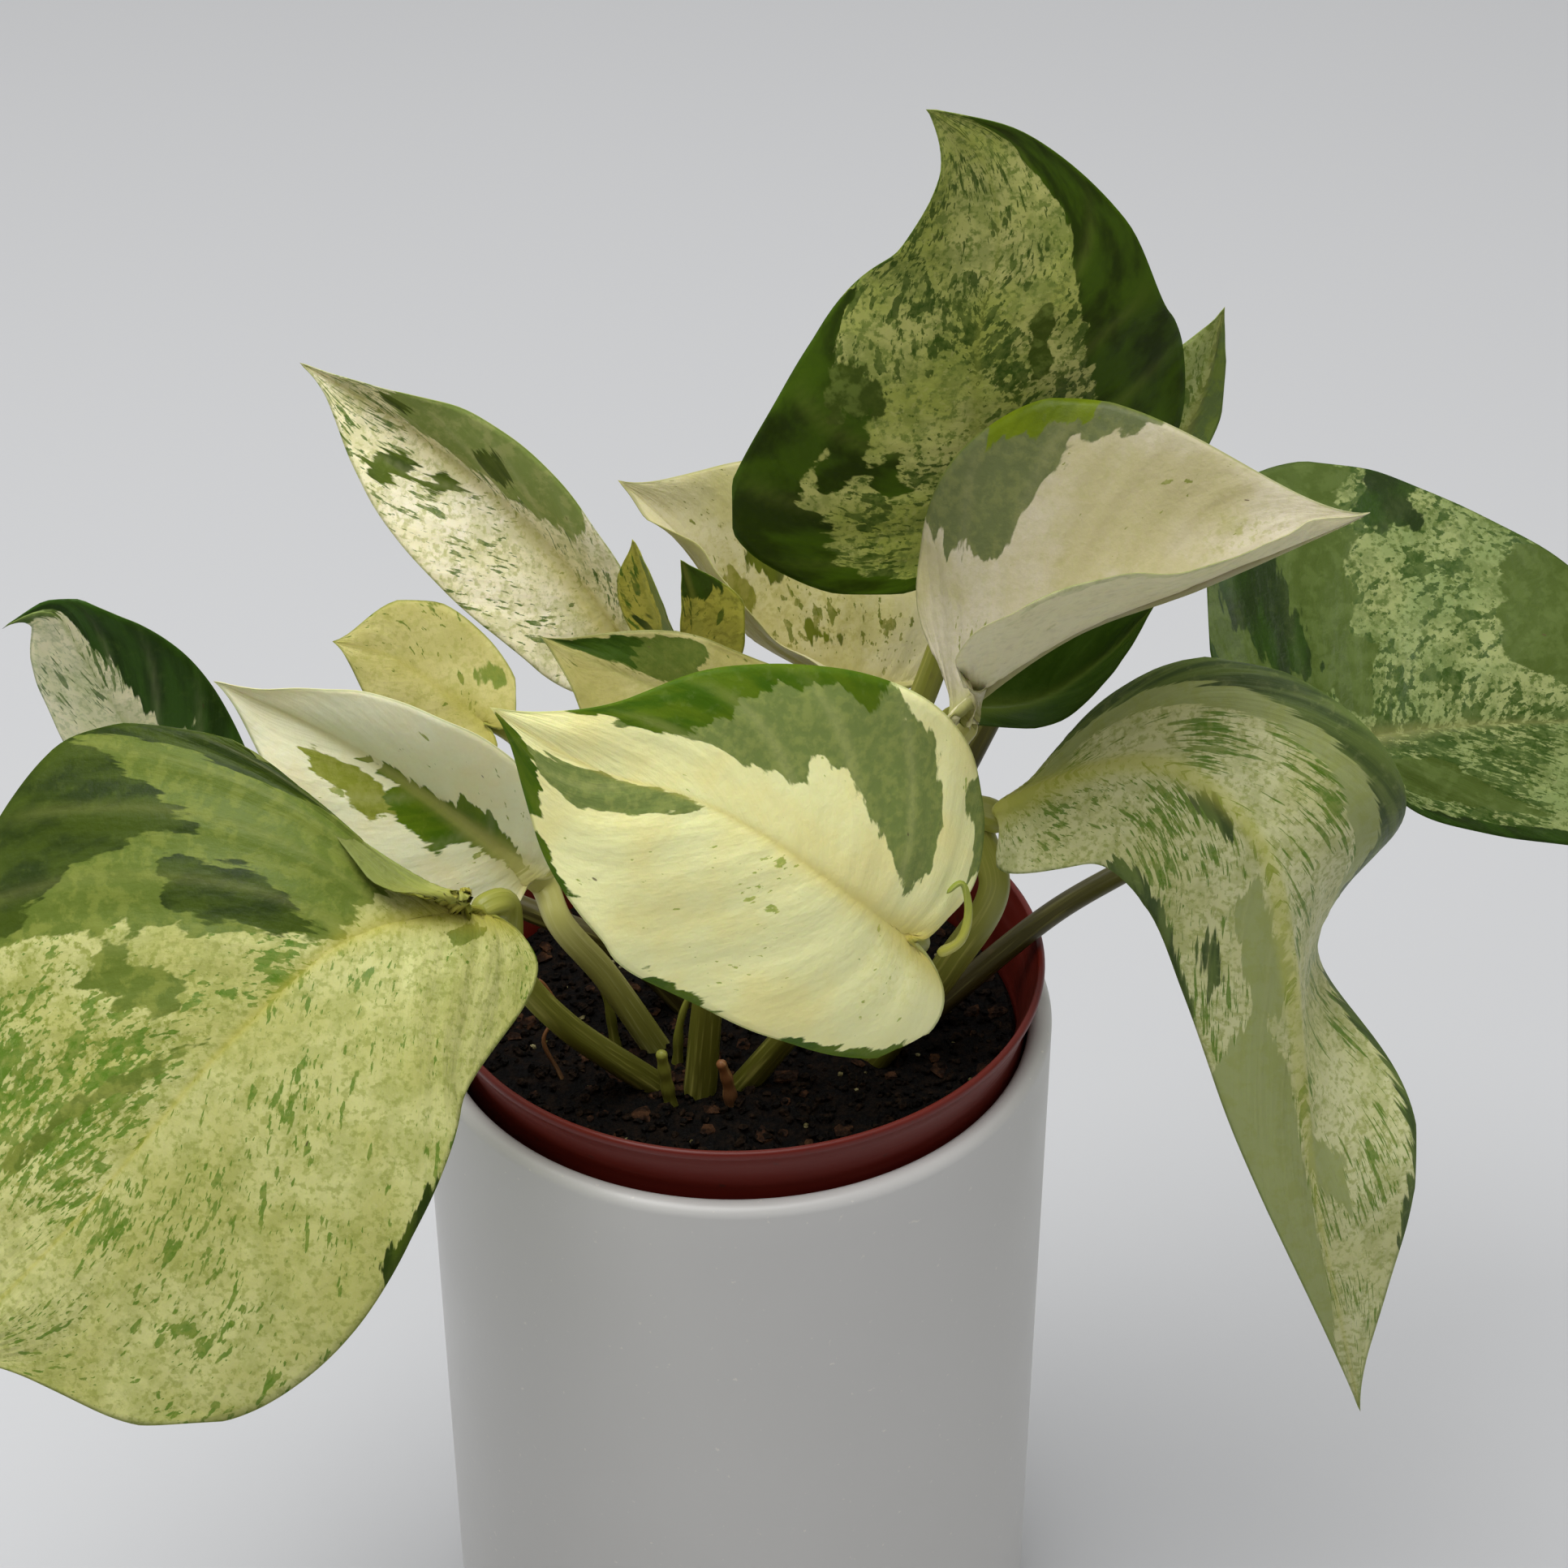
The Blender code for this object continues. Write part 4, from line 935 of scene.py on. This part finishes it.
# %% Living blade
def blade_finish(name, cream, warm, haze, fleck, grey, green, dark, rib, under):
    """One blade's colours, from its cream ground up to its darkest green."""
    finish, tree, shader = new_finish("waxy_leaf_" + name, 0.42, 1.45)
    plan = add(tree, "UVMap", {"uv_map": "veins"})
    solid = add(tree, "TexCoord", out=3)
    mark = {key: add(tree, "Attribute", {"attribute_name": key}, None, 2)
            for key in ("green", "grey", "fleck", "rib", "vein", "margin", "under")}
    # noise by the width of its grains in mm, as long as they are broad, and its detail
    grains = {size: add(tree, "TexNoise", None, {"Vector": solid, "Scale": 1000 / size,
                                                 "Detail": detail, "Roughness": 0.6})
              for size, detail in ((16, 3.0), (13, 2.0), (4.5, 5.0), (3.0, 5.0), (1.5, 4.0),
                                   (1.0, 5.0), (0.9, 3.0))}
    fine = grains[1.5]

    def streaks(across, along, detail, shift):
        """Noise with grains so many mm across the veins and along them."""
        place = add(tree, "Mapping", None, {"Vector": plan, "Location": (shift, shift * 0.7, 0),
                                            "Scale": (100 / across, 100 / along, 1)})
        return add(tree, "TexNoise", None, {"Vector": place, "Scale": 1.0, "Detail": detail})

    def dapple(under, noise, low, high, most):
        """Dapple a colour with haze where the noise is high and the blade is flecked."""
        soft = add(tree, "MapRange", SOFT, {0: noise, 1: low, 2: high, 3: 0.0, 4: most})
        share = add(tree, "Math", {"operation": "MULTIPLY", "use_clamp": True},
                    {0: mark["fleck"], 1: soft})
        return add(tree, "Mix", BLEND, {0: share, 6: under, 7: linear(haze)}, 2)

    def patch(under, over, key, noise, ragged):
        """Lay a marked area over a colour, its soft edge cut ragged by noise."""
        lift = add(tree, "Math", {"operation": "MULTIPLY_ADD"},
                   {0: noise, 1: ragged, 2: -0.5 * ragged})
        edge = add(tree, "Math", {"operation": "ADD"}, {0: mark[key], 1: lift})
        return layer(tree, under, over, edge, 0.47, 0.55)

    colour = layer(tree, linear(cream), linear(warm), grains[16], 0.38, 0.64)
    colour = dapple(colour, grains[4.5], 0.47, 0.60, 0.55)
    colour = dapple(colour, grains[1.0], 0.48, 0.62, 1.0)
    pale = layer(tree, colour, linear(cream), grains[0.9], 0.55, 0.68, 0.0, 0.5)
    colour = add(tree, "Mix", BLEND, {0: mark["fleck"], 6: colour, 7: pale}, 2)

    # flecks crowd together in places, so slow noise moves the level that a fleck must reach
    rich = add(tree, "Math", {"operation": "MULTIPLY_ADD"}, {0: mark["fleck"], 1: 0.20, 2: -0.275})
    crowd = add(tree, "Math", {"operation": "MULTIPLY_ADD"}, {0: grains[13], 1: 0.55, 2: rich})
    speck = layer(tree, linear(fleck), linear(haze), fine, 0.45, 0.60, 0.0, 0.45)
    for across, along, detail, shift, low in ((1.9, 3.2, 5.0, 3.1, 0.74),
                                              (0.8, 1.3, 4.0, 9.1, 0.76)):
        grain = add(tree, "Math", {"operation": "ADD"},
                    {0: streaks(across, along, detail, shift), 1: crowd})
        colour = layer(tree, colour, speck, grain, low, low + 0.03, 0.0, 0.88)

    grey_tone = layer(tree, linear(grey), linear(haze), fine, 0.42, 0.62, 0.0, 0.12)
    grey_tone = dapple(grey_tone, grains[3.0], 0.46, 0.60, 0.6)
    colour = patch(colour, grey_tone, "grey", streaks(2.6, 4.4, 5.0, 12.3), 1.1)
    green_tone = layer(tree, linear(green), linear(dark), streaks(4.5, 8.0, 4.0, 31.0), 0.40, 0.62)
    green_tone = layer(tree, green_tone, linear(grey), fine, 0.54, 0.70, 0.0, 0.18)
    colour = patch(colour, green_tone, "green", streaks(1.8, 5.5, 6.0, 21.9), 1.1)

    side_vein = add(tree, "Math", {"operation": "MULTIPLY"}, {0: mark["vein"], 1: 0.12})
    colour = add(tree, "Mix", BLEND, {0: side_vein, 6: colour, 7: linear(warm)}, 2)
    colour = add(tree, "Mix", BLEND, {0: mark["rib"], 6: colour, 7: linear(rib)}, 2)
    spots = add(tree, "TexVoronoi", None, {"Vector": plan, "Scale": 10.0, "Randomness": 1.0})
    colour = layer(tree, colour, linear("54442c"), spots, 0.018, 0.028, 0.75, 0.0)
    colour = layer(tree, colour, linear(green), mark["margin"], 0.010, 0.035, 0.40, 0.0)
    below = layer(tree, linear(under), colour, fine, 0.45, 0.75, 0.35, 0.6)
    colour = add(tree, "Mix", BLEND, {0: mark["under"], 6: colour, 7: below}, 2)

    wrinkle = streaks(2.2, 7.0, 3.0, 44.0)
    lift = add(tree, "Math", {"operation": "MULTIPLY_ADD"}, {0: fine, 1: 0.6, 2: wrinkle})
    dress(tree, shader, colour, fine, 0.38, 0.50, lift, 0.45, 0.0005)
    shader.inputs["Subsurface Weight"].default_value = 0.25
    shader.inputs["Subsurface Radius"].default_value = (0.6, 0.8, 0.25)
    shader.inputs["Subsurface Scale"].default_value = 0.0006
    shader.inputs["Specular IOR Level"].default_value = 0.15
    return finish


# %% The colours of each blade: cream, warm cream, haze, fleck, grey, green, dark, rib, underside
COLOURS = {
    "front_left": ("c0c080", "b0b068", "889040", "587820", "607028", "405010", "283808",
                   "b0a840", "909850"),
    "front_centre": ("f8f8b8", "f8f0a8", "d8d878", "a0b048", "788848", "587010", "406008",
                     "d8c860", "d0d890"),
    "front_right": ("c8c898", "c0c088", "909850", "587820", "98a068", "607038", "405028",
                    "b0b050", "a0a868"),
    # right_cream's underside colour, f0e8c0, is lighter than its upper face: painted light for the
    # glow through the thin folded flap
    "right_cream": ("c0b8a0", "b0a880", "989858", "788038", "606840", "687810", "586810",
                    "a0a058", "f0e8c0"),
    "top": ("b8b870", "a0a850", "708038", "385010", "405010", "405808", "283800", "909840",
            "809048"),
    "back_left": ("f8f0d8", "f0e8c0", "b8b878", "486818", "889850", "586820", "405018",
                  "d0c878", "b8c078"),
    "far_left": ("f8f0d0", "e0e0b0", "98a868", "507028", "587030", "385818", "284010",
                 "98a858", "a8b078"),
    "left_cream": ("f8f8d8", "f8f0c8", "d8d088", "90a038", "909838", "688018", "507010",
                   "d8d080", "e8e0b0"),
    "round_back": ("c8c080", "b8b068", "989840", "587018", "788838", "506818", "405810",
                   "b0a850", "a8b060"),
    "young_left": ("c8c050", "b8b048", "888830", "486810", "687838", "405010", "304008",
                   "a8a848", "a8a860"),
    "young_right": ("c0b850", "a8a840", "808030", "486018", "687838", "405810", "384808",
                    "a0a048", "a8a860"),
    "back_cream": ("d0c8a0", "c8c088", "a8a058", "687020", "808030", "687020", "505818",
                   "b8b070", "b8b070"),
    "wedge": ("b8b078", "a8a060", "888840", "606828", "586828", "385010", "284008", "a0a058",
              "989860"),
    "far_right": ("909860", "788850", "586830", "304810", "485820", "284008", "203008",
                  "888850", "788848"),
    "crescent": ("90a058", "708840", "486018", "304810", "405808", "304808", "284000",
                 "607028", "586830"),
    "back_right": ("b0b878", "a0a860", "788838", "587028", "607040", "485830", "385028",
                   "989850", "889858"),
}
for name, obj in blades.items():
    paint(obj, blade_finish(name, *COLOURS[name]))

# %% [markdown]
# ## The stalks
# A leaf stalk isn't a plain rod. It is channelled on its upper side, a little wider where it
# sheathes the stem at the soil, and has a short swollen joint just below the blade, which turns
# the blade to the light. A grid rolled round the stalk's path gives all three.

# %% Stalks
STALKS = {
    "front_left": ([(-14, -15, 0), (-25, -21, 15), (-31, -28, 31)], 2.2, 1.8),
    "front_centre": ([(1, -15, 0), (10, -18, 15), (18, -26, 29)], 2.2, 1.6),
    "front_right": ([(20, -9, 0), (30, -11, 18), (36, -12, 33)], 2.6, 2.2),
    "right_cream": ([(14, -2, 0), (22, -7, 23), (28, -11, 46)], 2.0, 1.6),
    "top": ([(8, 4, 0), (17, 2, 30), (27, 2, 60)], 2.4, 1.8),
    "back_left": ([(-6, 12, 0), (-8, 20, 21), (-14, 30, 37)], 2.0, 1.5),
    "far_left": ([(-9, 3, 0), (-17, 2, 10), (-34, 4, 18), (-56, 9, 25)], 2.0, 1.5),
    "left_cream": ([(-13, -7, 0), (-20, -9, 15), (-26, -11, 26)], 2.2, 2.0),
    "round_back": ([(-12, 8, 0), (-20, 10, 19), (-30, 14, 35)], 1.6, 1.2),
    "young_left": ([(-2, 7, 0), (-6, 8, 29)], 1.8, 1.2),
    "back_cream": ([(13, 14, 0), (19, 16, 20), (24, 17, 38)], 1.8, 1.5),
    "wedge": ([(-6, -16, 0), (-4, -14, 19), (2, -12, 39)], 2.6, 1.6),
    "far_right": ([(26, -2, 0), (46, 3, 17), (62, 8, 25)], 2.0, 1.6),
    "crescent": ([(22, 4, 0), (26, 2, 23), (30, 3, 43)], 1.6, 1.2),
    "back_right": ([(20, 14, 0), (34, 20, 33), (48, 28, 58)], 2.0, 1.4),
}


def rolled(name, path, radii, upward, channel=0.2, around=24):
    """A closed bar round a path in mm, with a channel along the side that looks up."""
    along = unit(np.gradient(path, axis=0))
    up = unit(upward - (along @ upward)[:, None] * along)
    side = np.cross(along, up)
    turn = np.linspace(0, math.tau, around + 1)
    shape = 1 - channel * np.exp(-(np.minimum(turn, math.tau - turn) / 0.55)**2)
    ring = (up[:, None] * np.cos(turn)[None, :, None] + side[:, None] * np.sin(turn)[None, :, None])
    points = path[:, None] + ring * (radii[:, None] * shape[None, :])[:, :, None]
    points = np.concatenate([np.repeat(path[:1, None], around + 1, 1), points,
                             np.repeat(path[-1:, None], around + 1, 1)])
    obj, i, j = laid_grid(name, points)
    place = np.clip(i - 1, 0, len(path) - 1) / (len(path) - 1)
    write_values(obj.data, "height", place)
    plan = np.stack([place * np.linalg.norm(np.diff(path, axis=0), axis=1).sum(),
                     j / around * math.tau * radii.mean()], -1) / 100
    write_plan(obj.data, "fibres", plan)
    merge_and_face_out(obj)
    only(obj)
    bpy.ops.object.shade_smooth()
    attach(obj, "root")
    return obj


def domed(s, steepness):
    """A share of the radius that rounds off both ends of a bar, from its run of 0 to 1."""
    near_end = np.clip(np.minimum(s, 1 - s) * steepness, 0, 1)
    return np.sqrt(np.clip(1 - (1 - near_end)**2, 0.02, 1))


def make_stalk(name, points, root_radius, tip_radius):
    """A stalk from below the soil's top to the underside of its blade."""
    leaf = LEAVES[name]
    _, face, ahead, _, _ = blade_surface(leaf, 4, [-1.0, 0.0, 1.0])
    base = np.array(leaf["spine"][0], float)
    end = base - face * (tip_radius + 0.7) + ahead * 1.0
    near = end - ahead * 5.0 - face * 2.0
    above = [np.array(p, float) for p in points]
    start = above[0] - unit(above[1] - above[0]) * 5.5
    steps = 90
    path, _ = smooth_curve([start] + above + [near, end], steps)
    s = np.linspace(0, 1, steps + 1)
    radii = root_radius + (tip_radius - root_radius) * s
    radii = radii * (0.97 + 0.10 * np.exp(-((s - 0.93) / 0.05)**2))
    radii = radii * domed(s, steps / 3)
    obj = rolled("stalk_of_" + name, path + PLANT_ORIGIN / MM, radii, face)
    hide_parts("stalk_" + name)
    return obj


stalks = {name: make_stalk(name, *data) for name, data in STALKS.items()}
print(len(stalks), "stalks,", sum(len(s.data.polygons) for s in stalks.values()), "faces")

# %% [markdown]
# A stalk is olive green, lighter near the blade, and drawn all along with fine fibres. Its darker
# base is partly its own browner sheath and partly painted shade from the leaves above.

# %% Waxy green stalk
def stalk_finish(name, low, high, streak):
    finish, tree, shader = new_finish(name, 0.42, 1.45)
    plan = add(tree, "UVMap", {"uv_map": "fibres"})
    lines = add(tree, "Mapping", None, {"Vector": plan, "Scale": (100 / 14, 100 / 0.7, 1)})
    fibre = add(tree, "TexNoise", None, {"Vector": lines, "Scale": 1.0, "Detail": 3.0})
    blotch_at = add(tree, "Mapping", None, {"Vector": plan, "Scale": (100 / 6, 100 / 3, 1)})
    blotch = add(tree, "TexNoise", None, {"Vector": blotch_at, "Scale": 1.0, "Detail": 2.0})
    height = add(tree, "Attribute", {"attribute_name": "height"}, None, 2)
    # darker towards the soil: partly the browner sheath, partly painted shade under the leaves
    tone = layer(tree, linear(low), linear(high), height, 0.1, 0.95)
    tone = layer(tree, tone, linear(streak), fibre, 0.50, 0.72, 0.0, 0.7)
    tone = layer(tree, tone, linear("6e5a34"), blotch, 0.62, 0.76, 0.0, 0.5)
    dress(tree, shader, tone, fibre, 0.36, 0.50, fibre, 0.4, 0.0003)
    return finish


# the first colour of each stalk, at the soil, is darkened beyond its own tone as painted shade
olive = stalk_finish("waxy_green_stalk", "5c5c1c", "8c8e38", "a4a050")
pale = stalk_finish("waxy_pale_stalk", "7c7c34", "b8b468", "c4c080")
# the same olive stalk made darker, as painted shade, for stalks that run low at the sides and back
shade = stalk_finish("waxy_olive_stalk_in_painted_shade", "3c3414", "5c5a22", "747036")
for name, obj in stalks.items():
    # these three stalks get the painted-shade copy of the olive stalk
    dark = name in ("far_right", "far_left", "back_right")
    light = name in ("left_cream", "right_cream")
    paint(obj, shade if dark else pale if light else olive)

# %% [markdown]
# Two pointed shoots, two cut stubs and a dry strand stand between the stalks. They are rolled the
# same way, with a point, a blunt top or a thin wiry run.

# %% Shoots, stubs and a dry strand
SHOOTS = {
    "shoot_left": ([(-19, -6, 0), (-20, -5, 7), (-23, -4, 15)], 1.1, 0.3, 0.25),
    "shoot_middle": ([(-9.5, -10.5, 0), (-9, -10.5, 7), (-6.5, -10, 15)], 1.1, 0.3, 0.25),
    "stub_pale": ([(-10.5, -19, 0), (-11, -19, 4), (-11.5, -19.5, 9)], 1.2, 0.9, 0.1),
    "stub_dry": ([(-1.5, -20, 0), (-2, -20, 4), (-3, -20.5, 8)], 1.3, 0.8, 0.1),
    "strand_dry": ([(-27, -13, 0), (-29, -12, 5), (-27, -10, 9), (-29.5, -9, 14)], 0.4, 0.3, 0.0),
}
bark_brown = stalk_finish("dry_brown_stub", "5c4028", "8a5a34", "b08a5a")
for name, (points, root_radius, tip_radius, channel) in SHOOTS.items():
    above = [np.array(p, float) for p in points]
    path, _ = smooth_curve([above[0] - unit(above[1] - above[0]) * 2.8] + above, 40)
    s = np.linspace(0, 1, 41)
    radii = (root_radius + (tip_radius - root_radius) * s) * (0.9 + 0.08 * np.sin(s * 21))
    radii = radii * domed(s, 13)
    shoot = rolled("growth_" + name, path + PLANT_ORIGIN / MM, radii, np.array([0.2, 0.9, 0.4]),
                   channel, 16)
    paint(shoot, bark_brown if "dry" in name else olive)
    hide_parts(name)

# %% [markdown]
# The sheath is the papery skin that wrapped a young leaf. It has dried, and curls at its end.

# %% Dry sheath
path, _ = smooth_curve([(27, -33, 37), (30, -34, 40), (31, -33, 44), (30, -32, 48),
                        (28, -33, 47)], 40)
s = np.linspace(0, 1, 41)
sheath = rolled("dry_sheath_curl", path + PLANT_ORIGIN / MM, (0.85 - 0.5 * s) * domed(s, 14),
                np.array([0.0, 0.0, 1.0]), 0.35, 16)
paint(sheath, stalk_finish("papery_dry_sheath", "a8a648", "8c9838", "c8c470"))
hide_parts("sheath")

# %% [markdown]
# ## Floor and light
# A wide pale table lies under two large round soft lights. The stronger one hangs overhead, a
# little to the left, and a weak one fills in from the front left. Light from all round, dimmer
# from the front, keeps the shadows open, as the walls of a pale studio do.

# %% Floor
deselect()
bpy.ops.mesh.primitive_plane_add(size=60, location=(0, 0, 0))
floor = bpy.context.object
floor.name = "floor"
floor_finish, tree, shader = new_finish("pale_matt_paper", 0.8, 1.45)
place = add(tree, "TexCoord", out=3)
tone = add(tree, "TexNoise", None, {"Vector": place, "Scale": 1.5, "Detail": 2.0})
paper = add(tree, "Mix", BLEND, {0: tone, 6: linear("bebfc1"), 7: linear("c2c3c5")}, 2)
tree.links.new(paper, shader.inputs["Base Color"])
floor.data.materials.append(floor_finish)

# %% Lights
deselect()
for place, tilt, energy in (((-0.15, -0.08, 1.5), (3, -6), 17),
                            ((-0.30, -0.62, 1.35), (26, -12), 4)):
    bpy.ops.object.light_add(type="AREA", location=place)
    light = bpy.context.object
    light.data.shape = "DISK"
    light.data.size = 1.1
    light.data.energy = energy
    light.rotation_euler = (math.radians(tilt[0]), math.radians(tilt[1]), 0)
world = bpy.data.worlds.new("studio")
bpy.context.scene.world = world
world.use_nodes = True
sky = world.node_tree
toward = add(sky, "TexCoord", out=0)
front = add(sky, "SeparateXYZ", None, {0: toward}, 1)
sky.links.new(layer(sky, linear("8e8c88"), linear("f4f4f4"), front, -0.9, 0.2),
              sky.nodes["Background"].inputs["Color"])
sky.nodes["Background"].inputs["Strength"].default_value = 0.66
bpy.context.scene.view_settings.view_transform = "Standard"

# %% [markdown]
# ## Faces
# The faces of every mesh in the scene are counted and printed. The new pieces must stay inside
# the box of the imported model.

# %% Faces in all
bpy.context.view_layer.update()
faces = sum(len(o.data.polygons) for o in bpy.data.objects if o.type == "MESH")
print("faces in all:", faces)
